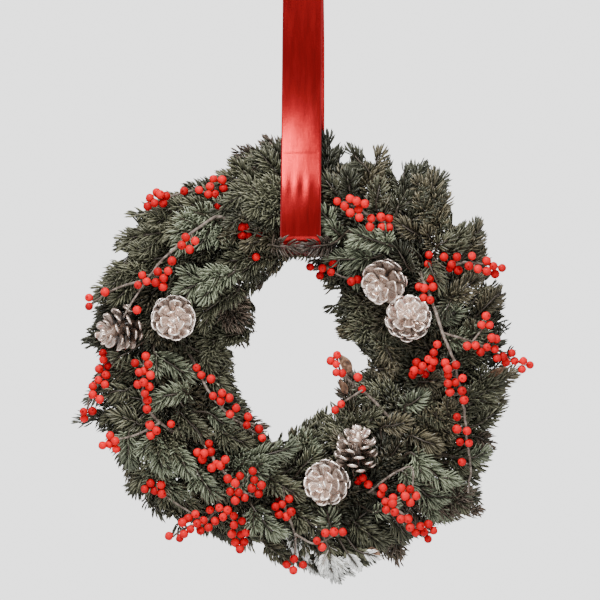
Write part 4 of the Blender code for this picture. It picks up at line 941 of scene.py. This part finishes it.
def painted_cone(name, clamp, slot, middle, axis, bright, spread, finish, nodes):
    """A cone: a slim core, and scales set round it by the golden turn. A scale is a spoon on a grid of two
    parameters: narrow at its root, rounded and swollen at its end, sagging between, hollow across and lifted at its
    lip. Its upper and lower faces join in a thick rim."""
    stock = Stock()
    axis = unit(at(axis[0], axis[2], axis[1]))
    centre = at(*middle)
    base = centre - 0.5 * CONE_LENGTH * axis
    side = unit(np.cross(axis, (0.3, 0.2, 0.9)))
    beside = np.cross(axis, side)
    core = np.array([base + h * CONE_LENGTH * axis for h in (0.0, 0.10, 0.35, 0.65, 0.84, 0.92)])
    stock.add(*pipe(core, np.array([5, 8, 8.0, 6.5, 4, 2.0]), 12, side),
              np.concatenate([np.repeat([0.05, 0.05, 0.1, 0.3, 0.7, 0.8], 12), [0.05, 0.8]])[:, None])
    t, turn, starts, ends, width, thick = cone_scales(spread)
    wobble = rng.normal(0, 1, (4, len(t)))
    turn = turn + 0.06 * wobble[0]
    around = np.cos(turn)[:, None] * side + np.sin(turn)[:, None] * beside
    tangent = -np.sin(turn)[:, None] * side + np.cos(turn)[:, None] * beside
    start = base + starts[0][:, None] * axis + starts[1][:, None] * around
    end = base + (ends[0] + 0.8 * wobble[1])[:, None] * axis + (ends[1] * (1 + 0.025 * wobble[2]))[:, None] * around
    length = np.linalg.norm(end - start, axis=1)
    out = unit(end - start)
    up = unit(axis - out * (out @ axis)[:, None])
    u, v = SCALE_STATIONS, np.array([-1, -0.62, 0, 0.62, 1])
    n, m = len(u), len(v)
    sag = -0.56 * u * (1 - u)
    cupped = sag[:, None] + 0.02 * v[None, :] ** 2 * u[:, None] ** 1.2
    reach = length[:, None, None] * u[None, :, None]
    wide = width[:, None, None] * (SCALE_HALF_WIDTHS[:, None] * v[None, :])[None]
    layers = []
    for face in (1, -1):
        deep = face * 0.5 * thick[:, None, None] * (SCALE_SWELL[:, None] * (1 - 0.62 * v[None, :] ** 2))[None]
        high = length[:, None, None] * cupped[None] + deep
        layers.append(start[:, None, None] + reach[..., None] * out[:, None, None]
                      + wide[..., None] * tangent[:, None, None] + high[..., None] * up[:, None, None])
    points = np.stack(layers, axis=1)
    sprayed = 0.60 * np.clip((t - 0.5) / 0.3, 0, 1)[:, None] * (1 - SCALE_PAINT)[None, :]
    share = (SCALE_PAINT[None, :] + sprayed)[:, :, None] - 0.36 * (v**4)[None, None, :] * (u < 0.85)[None, :, None]
    share = share * (bright * (1 + 0.05 * wobble[3]) * np.interp(t, [0, 0.3, 1], [0.88, 1.0, 1.05]))[:, None, None]
    tints = np.stack([share, 0.80 * share], axis=1).reshape(len(t), -1)
    shift = np.arange(len(t))[:, None, None] * 2 * n * m
    stock.add(points.reshape(-1, 3), sheet_faces(n, m)[None] + shift, [], np.repeat(tints.reshape(-1, 1), 3, axis=1))
    pick = sprung_from_clamp(clamp, SLOTS[slot], base + 3 * axis, PICK_OFFSET)
    stock.add(*pipe(pick, PICK_RADIUS * 0.7, 8, axis + (0.02, 0.03, 0.05)), (0.35, 0, 0))
    return stock.piece(name, finish, nodes, "silver_painted_cone")


# Winterberry
def twig_paths(twig):
    """The main twig from its clamp through its route, and the side twigs, all as smooth curves, and
    the number of the main twig's point where it leaves the clamp."""
    turns = np.linspace(-STEM_BEHIND_CLAMP, STEM_PAST_CLAMP, 3)
    around = SLOTS[twig["slot"]]
    stem = [in_section(twig["clamp"] + twig["way"] * turn, around, STEM_OFFSET) for turn in turns]
    # The first two points of the route lie this much deeper, in the foliage
    sunk = (18, 14) + (0,) * len(twig["route"])
    visible = [at(x, height, front - low) for (x, height, front), low in zip(twig["route"], sunk)]
    main = curve_through(np.array(stem + visible), 5)
    branches = [curve_through(np.array([at(*place) for place in side]), 5) for side in twig.get("sides", ())]
    return main, branches, len(stem) * 5 - 3


def nearest_on(points, place):
    """For each place the nearest of the points, as seen from the front."""
    apart = place[:, None, ::2] - points[None, :, ::2]
    return points[np.argmin(np.hypot(apart[..., 0], apart[..., 1]), axis=1)]


def placed_berries():
    """Each berry at its pixel, a little in front of its twig, then pushed apart, mostly in depth, until none
    overlap. Returns the middles, where each one's stalk starts, and each one's twig."""
    middles, holders, owners = [], [], []
    for number, twig in enumerate(BERRY_TWIGS.values()):
        main, branches, grown = twig_paths(twig)
        points = np.vstack([main[grown:]] + branches)
        flat = np.array([from_pixel(px, py, 70) for px, py in twig["berries"]])
        holder = nearest_on(points, flat)
        front = -holder[:, 1] + 6.5 + rng.uniform(-1.5, 3.0, len(flat))
        middles.append(np.array([from_pixel(px, py, f) for (px, py), f in zip(twig["berries"], front)]))
        holders.append(holder)
        owners.append(np.full(len(flat), number))
    middles, holders, owners = np.vstack(middles), np.vstack(holders), np.concatenate(owners)
    for _ in range(60):
        apart = middles[:, None] - middles[None]
        distance = np.linalg.norm(apart, axis=2) + np.eye(len(middles)) * 1e3
        short = np.clip(2 * BERRY_RADIUS - 0.1 - distance, 0, None)
        push = (apart / distance[..., None] * short[..., None] * (0.22, 0.5, 0.22)).sum(axis=1)
        middles = middles + np.clip(push, -2, 2)
    return middles, holders, owners


berry_middles, berry_holders, berry_owners = placed_berries()


def berry_shape():
    """A berry as latitude circles round an axis that runs from stalk to blossom end, dimpled at both ends."""
    radius = np.array([0.22, 0.60, 0.90, 1.0, 0.90, 0.64, 0.34, 0.16])
    height = np.array([-0.90, -0.80, -0.50, 0.02, 0.48, 0.78, 0.91, 0.93])
    turn = np.arange(12) * math.tau / 12
    x, y = radius[:, None] * np.cos(turn), radius[:, None] * np.sin(turn)
    points = np.stack([x, y, np.broadcast_to(height[:, None], (8, 12))], axis=-1)
    poles = np.array([(0, 0, -0.84), (0, 0, 0.88)])
    shade = np.concatenate([np.repeat([0.75, 1, 1, 1, 1, 1, 0.95, 0.55], 12), [0.4, 0.3]])
    return np.vstack([points.reshape(-1, 3), poles]), *tube_faces(8, 12), shade


def winterberries(key, number, twig, bark, skin):
    """One twig with its side twigs and stalks, and its berries as a second piece."""
    main, branches, grown = twig_paths(twig)
    face = np.array([0.05, -1.0, 0.1])
    wood = Stock()
    n = len(main)
    radii = np.interp(np.arange(n) / (n - 1), [0, 0.4, 1], [1.6, 2.0, 1.15]) * (1 + 0.07 * np.sin(np.arange(n) * 2.3))
    kinks = rng.normal(0, 0.5, (n, 3)) * (np.arange(n) > grown)[:, None]
    wood.add(*pipe(main + kinks, radii, 9, face), (1, 1, 1))
    for branch in branches:
        wood.add(*pipe(branch, np.linspace(1.45, 0.9, len(branch)), 8, face), (1, 1, 1))
    fruit = Stock()
    shape, quads, tris, shade = berry_shape()
    for middle, holder in zip(berry_middles[berry_owners == number], berry_holders[berry_owners == number]):
        stalk = unit(holder - middle)
        tilt = unit(-stalk + rng.normal(0, 0.6, 3))
        across = unit(np.cross(tilt, (0.31, 0.52, 0.79)))
        basis = np.stack([across, np.cross(tilt, across), tilt])
        size = BERRY_RADIUS * rng.uniform(0.90, 1.04)
        colour = linear(BERRY_RED) * rng.uniform(0.52, 1.06)
        fruit.add(middle + size * shape @ basis, quads, tris, shade[:, None] * colour)
        foot = middle - 0.8 * size * tilt
        bow = 0.5 * (holder + foot) + 0.22 * np.linalg.norm(holder - foot) * np.array([0, 0.4, -0.5])
        stem = curve_through(np.vstack([holder, bow, foot]), 3)
        wood.add(*pipe(stem, np.linspace(0.75, 0.5, 7), 5, (0.3, 0.5, 0.8)), (1, 1, 1))
    wood.piece(f"winterberry_{key}_twig", bark, [f"berry_twig_{key}"], "winterberry")
    fruit.piece(f"winterberry_{key}_fruit", skin, (), "winterberry")


def dried_leaf(name, stalk_px, stalk_py, tip_px, tip_py, front, width, finish):
    """A dead leaf: a lens-shaped grid, folded along its rib and curled, with a second layer for its thickness."""
    start, end = from_pixel(stalk_px, stalk_py, front), from_pixel(tip_px, tip_py, front + 6)
    along = end - start
    length = np.linalg.norm(along)
    along = along / length
    across = unit(np.cross(along, (0.2, -1, 0.1)))
    up = np.cross(across, along)
    u, v = np.meshgrid(np.linspace(0, 1, 12), np.linspace(-1, 1, 7), indexing="ij")
    half = 0.5 * width * np.sin(math.pi * u**0.8) ** 0.8 + 0.3
    lift = 2.5 * np.abs(v) ** 1.4 * np.sin(math.pi * u) + 3.5 * np.sin(2.2 * u) * u + 0.5 * np.sin(9 * u + 3 * v)
    flat = start + length * u[..., None] * along + (half * v)[..., None] * across
    layers = [(flat + (lift + side)[..., None] * up).reshape(-1, 3) for side in (0.2, -0.2)]
    stock = Stock()
    stock.add(np.vstack(layers), sheet_faces(*u.shape), [], (1, 1, 1))
    return stock.piece(name, finish, (), "winterberry")


# Fir
def fir_sprays(finish):
    """The sprays of the solids, each with six side twigs and its needles at full number."""
    for kind, table, outwards in SPRAYS:
        for i, (clamp, slot, angle, radius, front) in enumerate(table, 1):
            name = f"fir_{kind}_{i:02d}"
            face = at(0, 0, 1) + outwards * round_ring(angle, 1, 0)
            main = sprung_from_clamp(clamp, SLOTS[slot], round_ring(angle, radius, front))
            stock = Stock()
            spray(stock, main, face, SPRAY_TONES[kind][i - 1], first=0.34, sides=6, side_share=0.42)
            stock.piece(name + "_sprig", finish, [name], "frosted_fir" if name == "fir_outer_14" else "noble_fir")


# The foliage's section: how far it stands out over the ring, at which radius, and half its width
CROWN_FRONT, CROWN_RADIUS, CROWN_HALF_WIDTH = 75.0, 182.0, 97.0
# The layers under the sprays that show: number of sprays, front of their tips, painted shade, and how broad the needles
UNDER_LAYERS = ((84, 28, 0.62, 1.3), (100, 10, 0.6, 1.7), (72, -8, 0.85, 1.7))
GOLDEN_SHARE = 0.618034


def crown(radius):
    """How far the foliage stands out to the front at a radius: a half-ellipse over the ring."""
    return CROWN_FRONT * math.sqrt(max(0.06, 1 - ((radius - CROWN_RADIUS) / CROWN_HALF_WIDTH) ** 2))


def filling(finish):
    """The sprays between: those that show in the photo, rising from the ring to their tips, small ones along the
    outline, and dark ones under them, in pieces of one twelfth of the wreath."""
    stocks = [Stock() for _ in range(12)]

    def grow(angle, *main_face_tone, **numbers):
        spray(stocks[int(angle % 360 // 30)], *main_face_tone, **numbers)

    for px, py, tip_px, tip_py, tone, up in FILLING_SPRAYS:
        # Its foot and tip lie 12 and 13 mm under the crown; its stem starts beside the ring's wire, 14 degrees back
        rough, foot = from_pixel(tip_px, tip_py, 40), from_pixel(px, py, 40)
        foot_radius, tip_radius = np.hypot(foot[0], foot[2]), np.hypot(rough[0], rough[2])
        tip = from_pixel(tip_px, tip_py, crown(tip_radius) * up - 13)
        foot = from_pixel(px, py, crown(foot_radius) * up * 0.8 - 12)
        tip = tip + 0.12 * (foot - tip)
        angle = math.degrees(math.atan2(foot[2], foot[0]))
        root = in_section(angle - 14, 90 * up, STEM_OFFSET + 3)
        stem = in_section(angle - 8, 90 * up, STEM_OFFSET + 6)
        bend = 0.5 * (foot + tip) + at(0, 0, 5)
        main = curve_through(np.vstack([root, stem, foot, bend, tip]), 5)
        grown = np.linalg.norm(tip - foot)
        bare = 1 - grown / along_path(main, [0])[2] * 1.02
        face = at(0, 0, 1) + 0.35 * unit(rough * (1, 0, 1)) * (tip_radius - CROWN_RADIUS) / 90
        # Painted shade: the deeper a spray lies the darker it is painted, and the two before the ribbon's foot darker
        # still, as the shade they lie in; frosted sprays are painted brighter than their tone, as painted light
        shade = 1.15 if tone == "f" else 0.6 if up > 1.5 else 0.72 + 0.34 * up
        grow(angle, main, face, tone, first=bare, sides=4 if grown > 60 else 2 if grown > 38 else 0, side_share=0.5,
             per_mm=1.3, size=0.97, trim=5.0, shade=shade)
    # Angle, radius and tone of each small spray, whose tip reaches the outer or inner outline or a narrow tip
    edges = [(k * 5, outline(k * 5, margin=9)[1], "dgdo"[k % 4]) for k in range(72)]
    edges += [(k * 10, outline(k * 10, margin=9)[0], "dgdo"[k % 4]) for k in range(36)]
    for px, py, _, tone in TIPS:
        x, _, z = from_pixel(px, py, TRUE_SCALE_FRONT)
        edges.append((math.degrees(math.atan2(z, x)), math.hypot(x, z), tone))
    for angle, radius, tone in edges:
        back, out = (-7, 1) if radius > RING_RADIUS else (-10, -1)
        tip = round_ring(angle, radius, rng.uniform(-2, 14))
        foot = round_ring(angle + back, radius - 26 * out, rng.uniform(4, 16))
        root = in_section(angle + 2 * back, 90 - 60 * out, STEM_OFFSET + 3)
        main = curve_through(np.vstack([root, foot, 0.45 * foot + 0.55 * tip + 1.5 * out * unit(foot), tip]), 5)
        bare = 1 - 1.05 * np.linalg.norm(tip - foot) / along_path(main, [0])[2]
        face = at(0, 0, 1) + 0.4 * out * round_ring(angle, 1, 0)
        grow(angle, main, face, tone, first=bare, sides=2, side_share=0.5, per_mm=1.2, size=0.85, trim=3.0, shade=0.9,
             broad_by=1.1)
    # The layers under the sprays are painted darker by their shade, as painted shade
    for count, front, shade, broad_by in UNDER_LAYERS:
        for k in range(count):
            angle = (k + rng.uniform(0, 1)) * 360 / count
            toward = angle + rng.uniform(13, 25)
            inner, outer = outline(toward, margin=16)
            across = (k * GOLDEN_SHARE + rng.uniform(-0.05, 0.05)) % 1
            radius = inner + (outer - inner) * across
            # Towards both edges of the foliage the layers come together
            edge = abs(2 * across - 1) ** 2
            tip = round_ring(toward, radius, front * (1 - 0.75 * edge) + rng.uniform(-6, 6))
            main = sprung_from_clamp(angle, 90 if front > 0 else 250, tip, STEM_OFFSET + 5, steps=8)
            face = at(0, 0, 1 if front > 0 else 0.15) + 0.4 * math.copysign(1, across - 0.5) * round_ring(angle, 1, 0)
            grow(angle, main, face, "gdo"[k % 3], first=0.28, sides=4, side_share=0.45, per_mm=0.9, size=0.98, trim=3.0,
                 shade=shade, broad_by=broad_by, fine=False)
    for k, stock in enumerate(stocks, 1):
        stock.piece(f"fir_filling_{k:02d}", finish, (), "noble_fir")


# The stage: the lights' places in metres, sizes and powers, the point they shine at, and the floor's height
LIGHTS = {"soft_key": ((-0.55, -1.45, 1.75), 0.9, 135), "soft_fill": ((0.45, -2.5, -0.6), 1.4, 34)}
LIT_POINT = (0, 0, -0.42)
FLOOR_HEIGHT = -1.3
SENSOR_WIDTH = 36.0


def stage():
    """A pale floor below the hanging wreath, a large soft light from the upper left, a weak one from the right and
    an even pale surrounding."""
    bpy.ops.mesh.primitive_plane_add(size=8, location=(0, 0, FLOOR_HEIGHT))
    floor = bpy.context.object
    floor.name = "pale_floor"
    pale = finish_of("pale_floor", Roughness=0.8, Base_Color=(*linear("#eaeae9"), 1))[0]
    floor.data.materials.append(pale)
    world = bpy.data.worlds.new("pale_surrounding")
    world.use_nodes = True
    tree = world.node_tree
    soft = tree.nodes["Background"]
    soft.inputs["Color"].default_value = (1, 1, 1, 1)
    soft.inputs["Strength"].default_value = 0.45
    mirrored, seen = node(tree, "Background", Strength=1.2), node(tree, "Background", Strength=3.0)
    rays = node(tree, "LightPath")
    lit = node(tree, "MixShader", [(0, rays, "Is Glossy Ray"), (1, soft, 0), (2, mirrored, 0)])
    both = node(tree, "MixShader", [(0, rays, "Is Camera Ray"), (1, lit, 0), (2, seen, 0)])
    linked(tree, tree.nodes["World Output"], [("Surface", both, 0)])
    bpy.context.scene.world = world
    for name, (place, size, power) in LIGHTS.items():
        lamp = bpy.data.lights.new(name, "AREA")
        lamp.size, lamp.energy = size, power
        holder = bpy.data.objects.new(name, lamp)
        bpy.context.scene.collection.objects.link(holder)
        holder.location = place
        x, y, z = unit(np.array(LIT_POINT) - place)
        holder.rotation_euler = (math.acos(-z), 0, math.atan2(y, x) - math.pi / 2)
    camera = bpy.data.cameras.new("camera")
    camera.sensor_width = SENSOR_WIDTH
    camera.lens = SENSOR_WIDTH * CAMERA_DISTANCE / (2 * PICTURE_MIDDLE * MM_PER_PIXEL)
    seen_from = bpy.data.objects.new("camera", camera)
    bpy.context.scene.collection.objects.link(seen_from)
    middle = from_pixel(PICTURE_MIDDLE, PICTURE_MIDDLE, TRUE_SCALE_FRONT)
    seen_from.location = ((middle - (0, CAMERA_DISTANCE, RING_CENTRE_BELOW_HOOK)) * MM).tolist()
    seen_from.rotation_euler = (math.pi / 2, 0, 0)
    bpy.context.scene.camera = seen_from


def dress():
    """Makes every piece, in the order of their random draws."""
    stage()
    wire_ring(enamel_finish())
    fir = fir_finish()
    fir_sprays(fir)
    filling(fir)
    paint = cone_finish()
    for i, cone in enumerate(CONES, 1):
        painted_cone(f"painted_cone_{i}", *cone, paint, [f"pine_cone_{i}"])
    bark, skin = bark_finish(), berry_finish()
    for number, (key, twig) in enumerate(BERRY_TWIGS.items()):
        winterberries(key, number, twig, bark, skin)
    dead = leaf_finish()
    for i, leaf in enumerate(DRIED_LEAVES, 1):
        dried_leaf(f"dried_leaf_{i}", *leaf, dead)
    satin_ribbon(satin_finish())


dress()
